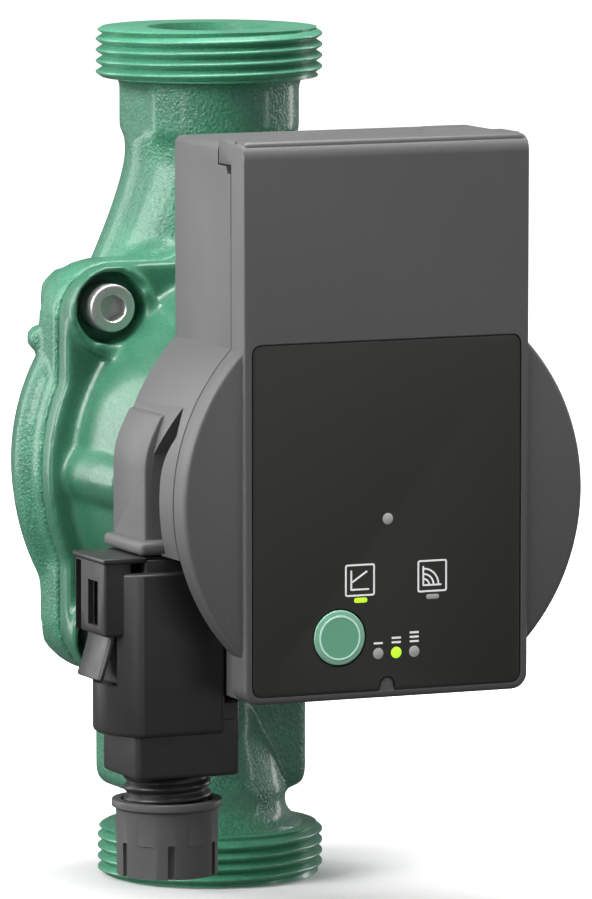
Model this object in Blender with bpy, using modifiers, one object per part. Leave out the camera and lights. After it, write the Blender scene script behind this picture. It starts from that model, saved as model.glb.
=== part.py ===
"""Wet-rotor circulator pump for a heating loop: DN 25, G 1 1/2 ports, 180 mm long.

Sizes are in millimetres and are turned to metres where a mesh is made. Three frames place the parts:
PIPE stands on the lower port face with z up the pipe, MOTOR looks out along the rotor axis with z
forward from the pipe, and PLUG stands under the mains connector with z up.
"""
from math import asin, atan2, cos, hypot, pi, radians, sin, sqrt

import bmesh
import bpy
from mathutils import Matrix, Vector

MM = 0.001
GAP = 0.3                      # running and seating clearance between touching parts

# Pump and pipe
PORT_TO_PORT = 180.0           # installation length
ROTOR_HEIGHT = 90.0            # rotor axis above the lower port face
THREAD_R = 23.9                # G 1 1/2 major radius
THREAD_PITCH = 2.309
THREAD_DEPTH = 1.48
COLLAR_LENGTH = 10.5
BORE_R = 13.0
NECK_R = 19.24                 # upper neck, before its wrench flats
NECK_FLAT = 16.5

# Depths forward of the pipe axis, along the rotor axis
VOLUTE_BACK = -23.0
FLANGE_BACK = 10.0
FLANGE_SEAM = 20.0
MOTOR_FLANGE_FRONT = 26.0
STATOR_FRONT = 54.7
MODULE_BACK = 55.0
MODULE_SEAM = 84.5
DISC_FACE = 90.0
BLOCK_FACE = 91.0

# Flange outline: a round body with four square corners
FLANGE_R = 47.2
FLANGE_HALF = 43.3
FLANGE_CORNER_R = 12.0
SCREW_AT = 34.4                # each flange screw, across and up from the rotor axis
SCREW_R = 3.0                  # M6

# Electronics module
DISC_R = 44.2
BLOCK_HALF = 31.5
BLOCK_BOTTOM = -40.6           # measured from the rotor axis
BLOCK_TOP = 73.0
MODULE_WALL = 2.2
PANEL_HALF = 29.9
PANEL_BOTTOM = -39.2
PANEL_TOP = 32.4
BUTTON_AT = (-10.6, -27.8)
BUTTON_R = 5.6
BUTTON_TRAVEL = 0.8
STATUS_LED = (0.1, -4.1)
MODE_LEDS = ((-5.9, -20.4), (10.1, -20.5))
LEVEL_LEDS = ((-2.0, -31.5), (2.0, -31.5), (6.0, -31.5))

# Mains connector
PLUG_X = -38.1
PLUG_DEPTH = 66.5
GLAND_THREAD_R = 8.9
CABLE_R = 4.0

PIPE = (Vector((0, 0, 0)), 0.0)
MOTOR = (Vector((0, 0, ROTOR_HEIGHT)), pi / 2)
PLUG = (Vector((PLUG_X, -PLUG_DEPTH, 0)), 0.0)


# ---------------------------------------------------------------- scene and shape helpers

for old in list(bpy.data.objects):
    bpy.data.objects.remove(old, do_unlink=True)

parts = bpy.data.collections.new("circulator_pump")
tools = bpy.data.collections.new("cutters")
for group in (parts, tools):
    bpy.context.scene.collection.children.link(group)


def material(name, colour, roughness, metallic=0.0):
    """Principled material named for its part."""
    mat = bpy.data.materials.new(name)
    mat.use_nodes = True
    shader = mat.node_tree.nodes["Principled BSDF"]
    shader.inputs["Base Color"].default_value = (*colour, 1.0)
    shader.inputs["Roughness"].default_value = roughness
    shader.inputs["Metallic"].default_value = metallic
    return mat


GREEN = ((0.08, 0.32, 0.19), 0.5, 0.0)
GREY = ((0.12, 0.12, 0.12), 0.55, 0.0)
DARK = ((0.035, 0.035, 0.033), 0.5, 0.0)
BLACK = ((0.02, 0.02, 0.02), 0.45, 0.0)
RUBBER = ((0.015, 0.015, 0.015), 0.8, 0.0)
STEEL = ((0.6, 0.6, 0.6), 0.3, 1.0)
BRASS = ((0.7, 0.5, 0.22), 0.3, 1.0)
COPPER = ((0.65, 0.28, 0.12), 0.35, 1.0)
CERAMIC = ((0.8, 0.78, 0.72), 0.25, 0.0)


def place(name, bm, frame, look=None):
    """Stand a millimetre bmesh in a frame: a part when it has a look, else a hidden tool."""
    bmesh.ops.remove_doubles(bm, verts=bm.verts, dist=0.0005)
    bmesh.ops.recalc_face_normals(bm, faces=bm.faces)
    bmesh.ops.scale(bm, vec=(MM, MM, MM), verts=bm.verts)
    mesh = bpy.data.meshes.new(name)
    bm.to_mesh(mesh)
    bm.free()
    obj = bpy.data.objects.new(name, mesh)
    origin, tilt = frame
    obj.location = origin * MM
    obj.rotation_euler = (tilt, 0, 0)
    if look is None:
        tools.objects.link(obj)
        obj.hide_render = True
        obj.display_type = "WIRE"
    else:
        parts.objects.link(obj)
        mesh.materials.append(material(name, *look))
        mesh.shade_smooth()
        mesh.set_sharp_from_angle(angle=radians(35))
    return obj


def turned(name, profile, frame, look=None, steps=32, centre=(0, 0)):
    """Spin (radius, height) points about z; the outer side runs from top to bottom.

    A profile that starts and ends on the axis is a solid, and any other is closed into a ring.
    """
    bm = bmesh.new()
    verts = [bm.verts.new((r, 0, z)) for r, z in profile]
    pairs = list(zip(verts, verts[1:]))
    if profile[0][0] > 0:
        pairs.append((verts[-1], verts[0]))
    for pair in pairs:
        bm.edges.new(pair)
    obj = place(name, bm, frame, look)
    obj.matrix_world = obj_matrix(frame) @ Matrix.Translation((centre[0] * MM, centre[1] * MM, 0))
    screw = obj.modifiers.new("turn", "SCREW")
    screw.axis = "Z"
    screw.steps = screw.render_steps = steps
    screw.use_merge_vertices = True
    screw.merge_threshold = 0.00001
    screw.use_smooth_shade = look is not None
    return obj


def obj_matrix(frame):
    origin, tilt = frame
    return Matrix.Translation(origin * MM) @ Matrix.Rotation(tilt, 4, "X")


def cylinder(name, radius, low, high, frame, look=None, steps=32, centre=(0, 0)):
    return turned(name, [(0, high), (radius, high), (radius, low), (0, low)], frame, look, steps, centre)


def ring(name, inner, outer, low, high, frame, look=None, steps=32, centre=(0, 0)):
    profile = [(inner, high), (outer, high), (outer, low), (inner, low)]
    return turned(name, profile, frame, look, steps, centre)


def prism_into(bm, outline, low, high):
    """Add an outline of (x, y) points to a bmesh and extrude it from low to high."""
    base = bm.faces.new([bm.verts.new((x, y, low)) for x, y in outline])
    lifted = bmesh.ops.extrude_face_region(bm, geom=[base])["geom"]
    top = [item for item in lifted if isinstance(item, bmesh.types.BMVert)]
    bmesh.ops.translate(bm, verts=top, vec=(0, 0, high - low))


def prism(name, outline, low, high, frame, look=None):
    bm = bmesh.new()
    prism_into(bm, outline, low, high)
    return place(name, bm, frame, look)


def boxes(name, corners, frame, look=None):
    """One object of boxes, each given by its lowest and highest corner."""
    bm = bmesh.new()
    for low, high in corners:
        cube = bmesh.ops.create_cube(bm, size=1.0)["verts"]
        size = [b - a for a, b in zip(low, high)]
        middle = [(a + b) / 2 for a, b in zip(low, high)]
        bmesh.ops.scale(bm, vec=size, verts=cube)
        bmesh.ops.translate(bm, vec=middle, verts=cube)
    return place(name, bm, frame, look)


def box(name, low, high, frame, look=None):
    return boxes(name, [(low, high)], frame, look)


def loft(name, sections, frame, look=None, points=24):
    """Bridge ovals given as (height, centre y, half width, half depth), lowest first."""
    bm = bmesh.new()
    rings = []
    for z, cy, hx, hy in sections:
        angles = [2 * pi * i / points for i in range(points)]
        rings.append([bm.verts.new((hx * cos(a), cy + hy * sin(a), z)) for a in angles])
    for loop in rings:
        for i in range(points):
            bm.edges.new((loop[i], loop[(i + 1) % points]))
    for lower, upper in zip(rings, rings[1:]):
        walls = [edge for edge in bm.edges if set(edge.verts) <= set(lower) | set(upper)]
        bmesh.ops.bridge_loops(bm, edges=walls)
    for cap in (rings[0], rings[-1]):
        bm.faces.new(cap)
    return place(name, bm, frame, look)


motor_axis = bpy.data.objects.new("motor_axis", None)
motor_axis.matrix_world = obj_matrix(MOTOR)
tools.objects.link(motor_axis)


def four(corner):
    """Repeat a piece made at one corner in all four, as separate solids about the rotor axis."""
    mirror = corner.modifiers.new("four", "MIRROR")
    mirror.use_axis = (True, True, False)
    mirror.mirror_object = motor_axis
    mirror.use_mirror_merge = False
    mirror.merge_threshold = 0.00001
    return corner


def boolean(body, operation, *others):
    for other in others:
        modifier = body.modifiers.new(other.name, "BOOLEAN")
        modifier.operation = operation
        modifier.solver = "EXACT"
        modifier.object = other
    return body


def cut(body, *others):
    return boolean(body, "DIFFERENCE", *others)


def join(body, *others):
    return boolean(body, "UNION", *others)


def soften(body, width, segments=1, angle=35):
    """Round the edges sharper than an angle; sits after any Boolean already on the body."""
    bevel = body.modifiers.new("soften", "BEVEL")
    bevel.width = width * MM
    bevel.segments = segments
    bevel.limit_method = "ANGLE"
    bevel.angle_limit = radians(angle)
    return body


def arc(centre, radius, start, end, steps):
    """Points on an arc, ends included, angles in radians."""
    turns = [start + (end - start) * i / steps for i in range(steps + 1)]
    return [(centre[0] + radius * cos(a), centre[1] + radius * sin(a)) for a in turns]


def rounded_box(x0, y0, x1, y1, radius, steps=4):
    """Rounded rectangle outline."""
    corners = ((x1 - radius, y0 + radius), (x1 - radius, y1 - radius),
               (x0 + radius, y1 - radius), (x0 + radius, y0 + radius))
    outline = []
    for quarter, corner in enumerate(corners):
        start = -pi / 2 + quarter * pi / 2
        outline += arc(corner, radius, start, start + pi / 2, steps)
    return outline


def flange_outline():
    """Round pump body with a square corner around each flange screw."""
    swing = atan2(sqrt(FLANGE_R ** 2 - FLANGE_HALF ** 2), FLANGE_HALF)
    inset = FLANGE_HALF - FLANGE_CORNER_R
    outline = []
    for quarter in range(4):
        turn = quarter * pi / 2
        outline += arc((0, 0), FLANGE_R, turn - swing, turn + swing, 5)
        middle = turn + pi / 4
        centre = (hypot(inset, inset) * cos(middle), hypot(inset, inset) * sin(middle))
        outline += arc(centre, FLANGE_CORNER_R, turn, turn + pi / 2, 5)
    return outline


def module_outline(inset=0.0):
    """Disc with a block through it that stands taller; the disc is cut level with the block's foot."""
    disc = DISC_R - inset
    half = BLOCK_HALF - inset
    foot = BLOCK_BOTTOM + inset
    top = BLOCK_TOP - inset
    corner = 3.5 - min(inset, 2.5)
    swing = atan2(sqrt(disc ** 2 - half ** 2), half)
    outline = arc((half - corner, foot + corner), corner, -pi / 2, 0, 3)
    outline += arc((0, 0), disc, -swing, swing, 12)
    outline += arc((half - corner, top - corner), corner, 0, pi / 2, 3)
    outline += arc((corner - half, top - corner), corner, pi / 2, pi, 3)
    outline += arc((0, 0), disc, pi - swing, pi + swing, 12)
    outline += arc((corner - half, foot + corner), corner, pi, 1.5 * pi, 3)
    return outline


def thread_profile(top, bottom):
    """Crests and roots of a turned thread down its outer side."""
    root = THREAD_R - THREAD_DEPTH
    points = [(root, top)]
    z = top - THREAD_PITCH * 0.5
    while z - THREAD_PITCH > bottom:
        points += [(THREAD_R, z), (THREAD_R, z - THREAD_PITCH * 0.3), (root, z - THREAD_PITCH * 0.7)]
        z -= THREAD_PITCH
    return points + [(THREAD_R, z), (THREAD_R, bottom)]


# ---------------------------------------------------------------- pump housing, cast iron

top = PORT_TO_PORT
upper_port = turned("upper_port", [(0, top), *thread_profile(top, top - COLLAR_LENGTH),
                                   (NECK_R, top - COLLAR_LENGTH - 2), (NECK_R, 158.5),
                                   (17.8, 156.5), (17.8, 151.3), (0, 151.3)], PIPE, steps=24)
lower_port = turned("lower_port", [(0, 19.3), (16, 19.3), (16, COLLAR_LENGTH + 2),
                                   (17, COLLAR_LENGTH + 1), *thread_profile(COLLAR_LENGTH, 0)[1:-1],
                                   (THREAD_R - THREAD_DEPTH, 0), (0, 0)], PIPE, steps=24)

flare = [(z, 0, 17.8 + 8.6 * ((153 - z) / 22.0) ** 1.3, 17.8) for z in range(153, 112, -6)]
upper_flare = loft("upper_flare", [*reversed(flare), (157, 0, 16.6, 16.6)], PIPE)
lower_neck = loft("lower_neck", [(15, 0, 14.4, 14.4), (19.8, 0.8, 16, 16), (24, 2.5, 16, 16),
                                 (31, 5.5, 16, 16), (40, 7.5, 17, 16), (62, 8, 19.3, 14)], PIPE)
suction_block = soften(box("suction_block", (-20, -8, 17.5), (20, 18, 62), PIPE), 3.0)
volute = turned("volute", [(0, 15), (48.6, 15), (49.4, 11.5), (48.6, 8.5), (47, 4.5), (44.6, -2), (41, -9),
                           (36, -15), (28, -20), (16, -22.6), (0, VOLUTE_BACK)], MOTOR, steps=40)
screw_spot = (SCREW_AT, SCREW_AT)
bosses = four(cylinder("screw_bosses", 7.0, 6, 12, MOTOR, None, 16, screw_spot))

FLAT_CUT = 3.5                 # half the thickness of the cutter that leaves each wrench flat
flats = boxes("neck_flats", [((side * (NECK_FLAT + FLAT_CUT) - FLAT_CUT, -25, 157),
                              (side * (NECK_FLAT + FLAT_CUT) + FLAT_CUT, 25, top - COLLAR_LENGTH - 1.2))
                             for side in (-1, 1)], PIPE)
upper_bore = cylinder("upper_bore", BORE_R, 116, top + 5, PIPE)
suction_way = loft("suction_way", [(-5, 0, BORE_R, BORE_R), (20, 0, BORE_R, BORE_R), (24, 1.2, BORE_R, 12),
                                   (28, 2.5, BORE_R, 11.5), (34, 5, BORE_R, 10.8), (46, 8.5, BORE_R, 9),
                                   (56, 9.3, BORE_R, 6.9), (101, 9.3, BORE_R, 6.9)], PIPE)
eye_bore = cylinder("eye_bore", 13.4, -6, 5, MOTOR)
impeller_room = cylinder("impeller_room", 37.0, 3, 25, MOTOR, steps=40)
screw_holes = four(cylinder("screw_holes", SCREW_R + GAP, 4, 40, MOTOR, None, 12, screw_spot))

pump_housing = prism("pump_housing", flange_outline(), FLANGE_BACK, FLANGE_SEAM, MOTOR, GREEN)
join(pump_housing, volute, suction_block, lower_neck, lower_port, upper_flare, upper_port, bosses)
cut(pump_housing, flats, upper_bore, suction_way, eye_bore, impeller_room, screw_holes)

# ---------------------------------------------------------------- hydraulics and rotor

turned("wear_ring", [(11.7, 4.5), (14.6, 4.5), (14.6, 3.3), (13.1, 3.3), (13.1, -1), (11.7, -1)],
       MOTOR, STEEL)

IMPELLER_R = 24.0
BLADES = 6


def blade_outline(turn, thickness=1.1):
    """Backward-swept blade between the eye and the rim."""
    inner, outer, sweep = 8.0, IMPELLER_R - 0.6, radians(70)
    path = []
    for step in range(5):
        share = step / 4
        radius = inner + (outer - inner) * share
        angle = turn - sweep * share ** 0.9
        path.append((radius * cos(angle), radius * sin(angle), angle))
    lean = radians(42)         # of the blade's line to the radius
    back = [(x - thickness * sin(a - lean), y + thickness * cos(a - lean)) for x, y, a in path]
    return [(x, y) for x, y, _ in path] + list(reversed(back))


impeller = turned("impeller", [(9.2, 6.8), (IMPELLER_R, 6.2), (IMPELLER_R, 5.0), (11.0, 5.6),
                               (11.0, 0.5), (9.2, 0.5)], MOTOR, ((0.25, 0.2, 0.15), 0.5, 0.0), steps=32)
hub_shroud = turned("hub_shroud", [(3.3, 16.2), (IMPELLER_R, 15.4), (IMPELLER_R, 14.2), (7, 13.8),
                                   (6, 10), (3.3, 9)], MOTOR, steps=32)
blades = [prism(f"blade_{i}", blade_outline(2 * pi * i / BLADES), 5.9, 14.6, MOTOR) for i in range(BLADES)]
join(impeller, *blades, hub_shroud)

cylinder("rotor_shaft", 3.0, 7.5, 51.0, MOTOR, CERAMIC, 24)
ring("rotor_magnet", 3.0 + GAP, 12.8, 26.5, 44.5, MOTOR, ((0.1, 0.1, 0.11), 0.4, 0.6))
ring("thrust_washer", 3.0 + GAP, 6.2, 24.6, 26.1, MOTOR, RUBBER, 24)
ring("front_bearing", 3.0 + GAP, 6.0, 17.2, 24.2, MOTOR, ((0.06, 0.06, 0.06), 0.35, 0.0), 24)
turned("bearing_plate", [(6.3, 23.8), (8.4, 23.8), (8.4, 19.6), (36.6, 19.6), (36.6, 18.4),
                         (12, 18.4), (9, 17.4), (6.3, 17.4)], MOTOR, STEEL)
turned("rotor_can", [(0, 52.4), (8.1, 52.4), (8.1, 46.6), (14.3, 46.0), (14.3, 21.0), (36.5, 21.0),
                     (36.5, 20.3), (13.6, 20.3), (13.6, 45.4), (7.4, 46.0), (7.4, 51.7), (0, 51.7)],
       MOTOR, STEEL)
ring("rear_bearing", 3.0 + GAP, 7.1, 46.4, 51.2, MOTOR, ((0.06, 0.06, 0.06), 0.35, 0.0), 24)
ring("housing_gasket", 38.2, 41.0, FLANGE_SEAM + GAP, 21.6, MOTOR, RUBBER, 40)

# ---------------------------------------------------------------- motor housing, screws, stator

ARM_HALF = 8.2
ARM_FRONT = 29.5
arm = [(22, -ARM_HALF), (45, -ARM_HALF), (45, ARM_HALF), (22, ARM_HALF)]
diagonal = [((x - y) * sqrt(0.5), (x + y) * sqrt(0.5)) for x, y in arm]
arms = four(prism("corner_arms", diagonal, 24, ARM_FRONT, MOTOR))
corner_pads = four(cylinder("corner_pads", 9.6, 24, 28.6, MOTOR, None, 20, (SCREW_AT - 0.9, SCREW_AT - 0.9)))
stator_cone = turned("stator_cone", [(0, STATOR_FRONT), (39.3, STATOR_FRONT), (41.8, 27.5),
                                     (42.8, 25), (42.8, 24), (0, 24)], MOTOR, steps=48)
stator_room = cylinder("stator_room", 31.8, 24, 60, MOTOR, steps=40)
can_hole = cylinder("can_hole", 14.6, 15, 25, MOTOR)
can_recess = cylinder("can_recess", 36.8, 15, 21.3, MOTOR, steps=40)
gasket_groove = ring("gasket_groove", 37.9, 41.3, 15, 21.9, MOTOR, None, 40)
head_pockets = four(cylinder("head_pockets", 7.5, 23.5, 40, MOTOR, None, 20, screw_spot))

motor_housing = prism("motor_housing", flange_outline(), FLANGE_SEAM + GAP, MOTOR_FLANGE_FRONT, MOTOR, GREEN)
join(motor_housing, arms, corner_pads, stator_cone)
cut(motor_housing, stator_room, can_hole, can_recess, gasket_groove, head_pockets, screw_holes)


def hexagon(across_flats):
    radius = across_flats / (2 * cos(pi / 6))
    return [(radius * cos(pi / 6 + i * pi / 3), radius * sin(pi / 6 + i * pi / 3)) for i in range(6)]


SCREW_HEAD_R = 5.0
hex_sockets = four(prism("hex_sockets", [(SCREW_AT + x, SCREW_AT + y) for x, y in hexagon(5.0)],
                         26.6, 31, MOTOR))
for number, (side, level) in enumerate(((1, 1), (-1, 1), (-1, -1), (1, -1)), 1):
    profile = [(0, 29.8), (SCREW_HEAD_R - 0.4, 29.8), (SCREW_HEAD_R, 29.4), (SCREW_HEAD_R, 23.8),
               (SCREW_R, 23.8), (SCREW_R, 8.0), (0, 8.0)]
    screw = turned(f"flange_screw_{number}", profile, MOTOR, STEEL, 14, (side * SCREW_AT, level * SCREW_AT))
    cut(screw, hex_sockets)

TEETH = 6
TOOTH_HALF = 3.6
CORE_BACK, CORE_FRONT = 28.0, 44.0


def around_teeth(x, y):
    """A point given beside a tooth on the x axis, repeated at every tooth."""
    turns = [2 * pi * i / TEETH for i in range(TEETH)]
    return [(x * cos(a) - y * sin(a), x * sin(a) + y * cos(a)) for a in turns]


slots = []
for edges in zip(around_teeth(25, -TOOTH_HALF), around_teeth(14.8, -TOOTH_HALF),
                 around_teeth(14.8, TOOTH_HALF), around_teeth(25, TOOTH_HALF)):
    slots += edges
stator_core = cylinder("stator_core", 31.4, CORE_BACK, CORE_FRONT, MOTOR, ((0.3, 0.3, 0.32), 0.5, 0.8), 48)
cut(stator_core, prism("stator_slots", slots, CORE_BACK - 2, CORE_FRONT + 2, MOTOR))


def tooth_blocks(half_width, inner, outer):
    """Outline of a block around each stator tooth."""
    corners = ((inner, -half_width), (outer, -half_width), (outer, half_width), (inner, half_width))
    return list(zip(*[around_teeth(x, y) for x, y in corners]))


tooth_room = bmesh.new()
for outline in tooth_blocks(TOOTH_HALF + GAP, 14, 26):
    prism_into(tooth_room, outline, CORE_BACK - GAP, CORE_FRONT + GAP)
tooth_room = place("tooth_room", tooth_room, MOTOR)
for number, outline in enumerate(tooth_blocks(7.0, 16.6, 22.4), 1):
    cut(prism(f"stator_coil_{number}", outline, CORE_BACK - 3, CORE_FRONT + 3, MOTOR, COPPER), tooth_room)


def pins(name, spots, radius, low, high, sides=10):
    """Round rods or holes side by side, as one tool."""
    bm = bmesh.new()
    for spot in spots:
        prism_into(bm, arc(spot, radius, 0, 2 * pi * (sides - 1) / sides, sides - 1), low, high)
    return place(name, bm, MOTOR)


box("winding_leads", (-4, -28.4, CORE_FRONT + 1), (4, -26.6, 75.6), MOTOR, COPPER)

# ---------------------------------------------------------------- electronics module

TOWER_LEFT = -45.3
SOCKET_SKIRT_LOW = 78.7 - ROTOR_HEIGHT
POST_SPOTS = ((23, 61), (-23, 61), (23, -32), (-23, -32))
POST_R = 4.2
NOTCH_X = -29.6                # the connector stands in a notch left of this
NOTCH_WALL_X = -27.4           # inner face of the notch's wall
BOARD_BACK, BOARD_FRONT = 76.0, 77.6
SOCKET = ((-44.0, 57.5), (-33.4, 71.0))          # socket opening: left and right, back and front
SOCKET_CEILING = 6.0

module_base = prism("module_base", module_outline(), MODULE_BACK, MODULE_SEAM - GAP, MOTOR, GREY)
tower = prism("socket_tower", [(-30, SOCKET_SKIRT_LOW), (TOWER_LEFT, SOCKET_SKIRT_LOW), (TOWER_LEFT, 9),
                               (-42, 14), (-30, 14)], MODULE_BACK + 0.2, 72.1, MOTOR)
skirt = soften(box("socket_skirt", (-47.5, SOCKET_SKIRT_LOW, 55.4), (-31, SOCKET_SKIRT_LOW + 2.7, 75),
                   MOTOR), 0.8)
top_rib = box("top_rib", (17, 70, 62), (30.5, BLOCK_TOP + 1.2, 77), MOTOR)
inside = prism("module_room", module_outline(MODULE_WALL), MODULE_BACK + 2.2, MODULE_SEAM + 2, MOTOR)
cut(inside, box("socket_walls", (-60, -60, 50), (-31.3, SOCKET_CEILING + 2.2, 74.2), MOTOR),
    box("notch_walls", (-60, -60, 49), (NOTCH_WALL_X, SOCKET_SKIRT_LOW + 2.2, 90), MOTOR),
    box("roof_wall", (-60, 65.5, 75.5), (60, 80, 90), MOTOR))
plug_notch = box("plug_notch", (-60, -60, 50), (NOTCH_X, SOCKET_SKIRT_LOW - 0.01, 90), MOTOR)
cover_step = box("cover_step", (-60, 67.7, 77.7), (60, 90, 90), MOTOR)
socket_room = box("socket_room", (SOCKET[0][0], -20, SOCKET[0][1]),
                  (SOCKET[1][0], SOCKET_CEILING, SOCKET[1][1]), MOTOR)
back_opening = cylinder("back_opening", 29.0, 50, 60, MOTOR, steps=48)


def posts(name, radius, low, high):
    """Round posts or holes at the four module screws."""
    return pins(name, POST_SPOTS, radius, low, high, 12)


join(module_base, tower, skirt, top_rib)
cut(module_base, plug_notch, cover_step, inside, socket_room, back_opening)
join(module_base, posts("base_posts", POST_R, 56, MODULE_SEAM - GAP - 0.01))
cut(module_base, posts("base_screw_holes", 1.8, 50, 90), posts("base_counterbores", 3.3, 50, 60.3))

module_cover = prism("module_cover", module_outline(), MODULE_SEAM, DISC_FACE, MOTOR, GREY)
block_front = soften(prism("block_front", rounded_box(-BLOCK_HALF, BLOCK_BOTTOM, BLOCK_HALF, BLOCK_TOP, 3.4),
                           MODULE_SEAM + 0.01, BLOCK_FACE, MOTOR), 1.2, 2)
roof = box("block_roof", (-BLOCK_HALF, 68, 78), (BLOCK_HALF, BLOCK_TOP, MODULE_SEAM + 2), MOTOR)
cover_room = prism("cover_room", module_outline(MODULE_WALL), 70, 88, MOTOR)
panel_recess = prism("panel_recess", rounded_box(-PANEL_HALF, PANEL_BOTTOM, PANEL_HALF, PANEL_TOP, 2.4),
                     90.2, 95, MOTOR)
lens_spots = (STATUS_LED, *MODE_LEDS, *LEVEL_LEDS)
lens_holes = pins("lens_holes", lens_spots, 1.3, 80, 95, 8)
button_hole = cylinder("button_hole", BUTTON_R + 0.5, 80, 95, MOTOR, None, 32, BUTTON_AT)
join(module_cover, block_front, roof)
cut(module_cover, cover_room, panel_recess, lens_holes, button_hole)
join(module_cover, posts("cover_posts", POST_R, MODULE_SEAM + 0.01, 88.4))
cut(module_cover, posts("cover_screw_holes", 1.8, 80, 87.8))

control_panel = prism("control_panel", rounded_box(-PANEL_HALF + GAP, PANEL_BOTTOM + GAP, PANEL_HALF - GAP,
                                                   PANEL_TOP - GAP, 2.2), 90.5, 90.95, MOTOR, DARK)
notch = box("panel_notch", (-1.6, -45, 85), (1.6, PANEL_BOTTOM + 3.0, 95), MOTOR)
cut(control_panel, lens_holes, button_hole, notch)

SWITCH_FRONT = 81.6
STEM_END = SWITCH_FRONT + BUTTON_TRAVEL + 0.5    # the stem stops short of the switch at full press
turned("operating_button", [(0, 91.2), (BUTTON_R - 0.3, 91.2), (BUTTON_R, 90.9), (BUTTON_R, 87.6),
                            (6.9, 87.6), (6.9, 86.8), (2, 86.8), (2, STEM_END), (0, STEM_END)],
       MOTOR, ((0.16, 0.42, 0.29), 0.45, 0.0), 32, BUTTON_AT)
LENS = ((0.8, 0.85, 0.8), 0.2, 0.0)

for name, spots in (("status_lens", [STATUS_LED]), ("mode_lens", MODE_LEDS), ("level_lens", LEVEL_LEDS)):
    for number, spot in enumerate(spots, 1):
        cylinder(f"{name}_{number}", 0.95, 79.5, 90.95, MOTOR, LENS, 10, spot)
box("key_switch", (BUTTON_AT[0] - 3, BUTTON_AT[1] - 3, BOARD_FRONT + GAP),
    (BUTTON_AT[0] + 3, BUTTON_AT[1] + 3, SWITCH_FRONT), MOTOR, BLACK)

circuit_board = prism("circuit_board", module_outline(MODULE_WALL + 1.4), BOARD_BACK, BOARD_FRONT, MOTOR,
                      ((0.03, 0.22, 0.1), 0.4, 0.0))
cut(circuit_board, box("board_notch", (-60, -60, 70), (NOTCH_WALL_X + 0.6, SOCKET_SKIRT_LOW + 3, 80), MOTOR),
    box("board_roof_room", (-60, 64.8, 70), (60, 90, 80), MOTOR),
    posts("board_post_holes", POST_R + 0.5, 70, 80))
cylinder("main_capacitor", 8.5, 58.5, BOARD_BACK - GAP, MOTOR, ((0.05, 0.06, 0.1), 0.4, 0.0), 28, (-11, 50))
ring("line_choke", 4.0, 9.0, 66.5, BOARD_BACK - GAP, MOTOR, COPPER, 28, (12, 49))
box("power_module", (-13, 20, 70.5), (13, 34, BOARD_BACK - GAP), MOTOR, BLACK)
for number, spot in enumerate(POST_SPOTS, 1):
    profile = [(0, 87.2), (1.4, 87.2), (1.4, 60.0), (2.8, 60.0), (2.8, 57.6), (0, 57.6)]
    turned(f"module_screw_{number}", profile, MOTOR, STEEL, 10, spot)

seal = prism("module_seal", module_outline(MODULE_WALL + GAP), 83.0, 86.0, MOTOR, RUBBER)
cut(seal, prism("seal_room", module_outline(MODULE_WALL + GAP + 1.3), 80, 90, MOTOR),
    box("seal_roof_room", (-60, 64.5, 70), (60, 90, 90), MOTOR),
    box("seal_notch_room", (-60, -60, 70), (NOTCH_WALL_X + 0.4, SOCKET_SKIRT_LOW + 3, 84.8), MOTOR))

# ---------------------------------------------------------------- mains socket and connector

socket_blade_x = (-41.6, -38.7, -35.8)           # three contacts, in the motor frame
blade_depths = (62.0, 66.0)
contact_carrier = box("contact_carrier", (SOCKET[0][0] + GAP, SOCKET_CEILING - 4.0, SOCKET[0][1] + GAP),
                      (SOCKET[1][0] - GAP, SOCKET_CEILING - GAP, SOCKET[1][1] - GAP), MOTOR, BLACK)
cut(contact_carrier, boxes("blade_slots", [((x - 0.7, -5, blade_depths[0] - GAP),
                                             (x + 0.7, 20, blade_depths[1] + GAP))
                                            for x in socket_blade_x], MOTOR))
for number, x in enumerate(socket_blade_x, 1):
    box(f"socket_blade_{number}", (x - 0.4, -6.0, blade_depths[0]),
        (x + 0.4, SOCKET_CEILING - GAP, blade_depths[1]), MOTOR, BRASS)

# From here heights are above the lower port face, x and y from the gland axis, front is -y
BOX_LOW, BODY_LOW, BODY_TOP = 33.1, 42.0, 75.4
COLLAR_TOP = 78.0
INSERT_TOP = 91.0


BODY_RIGHT, BODY_FRONT, BODY_REAR = 8.2, -11.4, 9.6
BULGE_CENTRE = (-3.9, -0.6)
BULGE_HALF = (11.6, 12.5)


def connector_outline():
    """Flat front, right and back; the left side is an oval cut off level with the front and the back."""
    rear = asin((BODY_REAR - BULGE_CENTRE[1]) / BULGE_HALF[1])
    fore = asin((BODY_FRONT - BULGE_CENTRE[1]) / BULGE_HALF[1])
    turns = [pi - rear + (rear - fore) * i / 12 for i in range(13)]
    bulge = [(BULGE_CENTRE[0] + BULGE_HALF[0] * cos(a), BULGE_CENTRE[1] + BULGE_HALF[1] * sin(a))
             for a in turns]
    return [(BODY_RIGHT, BODY_FRONT), (BODY_RIGHT, BODY_REAR), *bulge]


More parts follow.
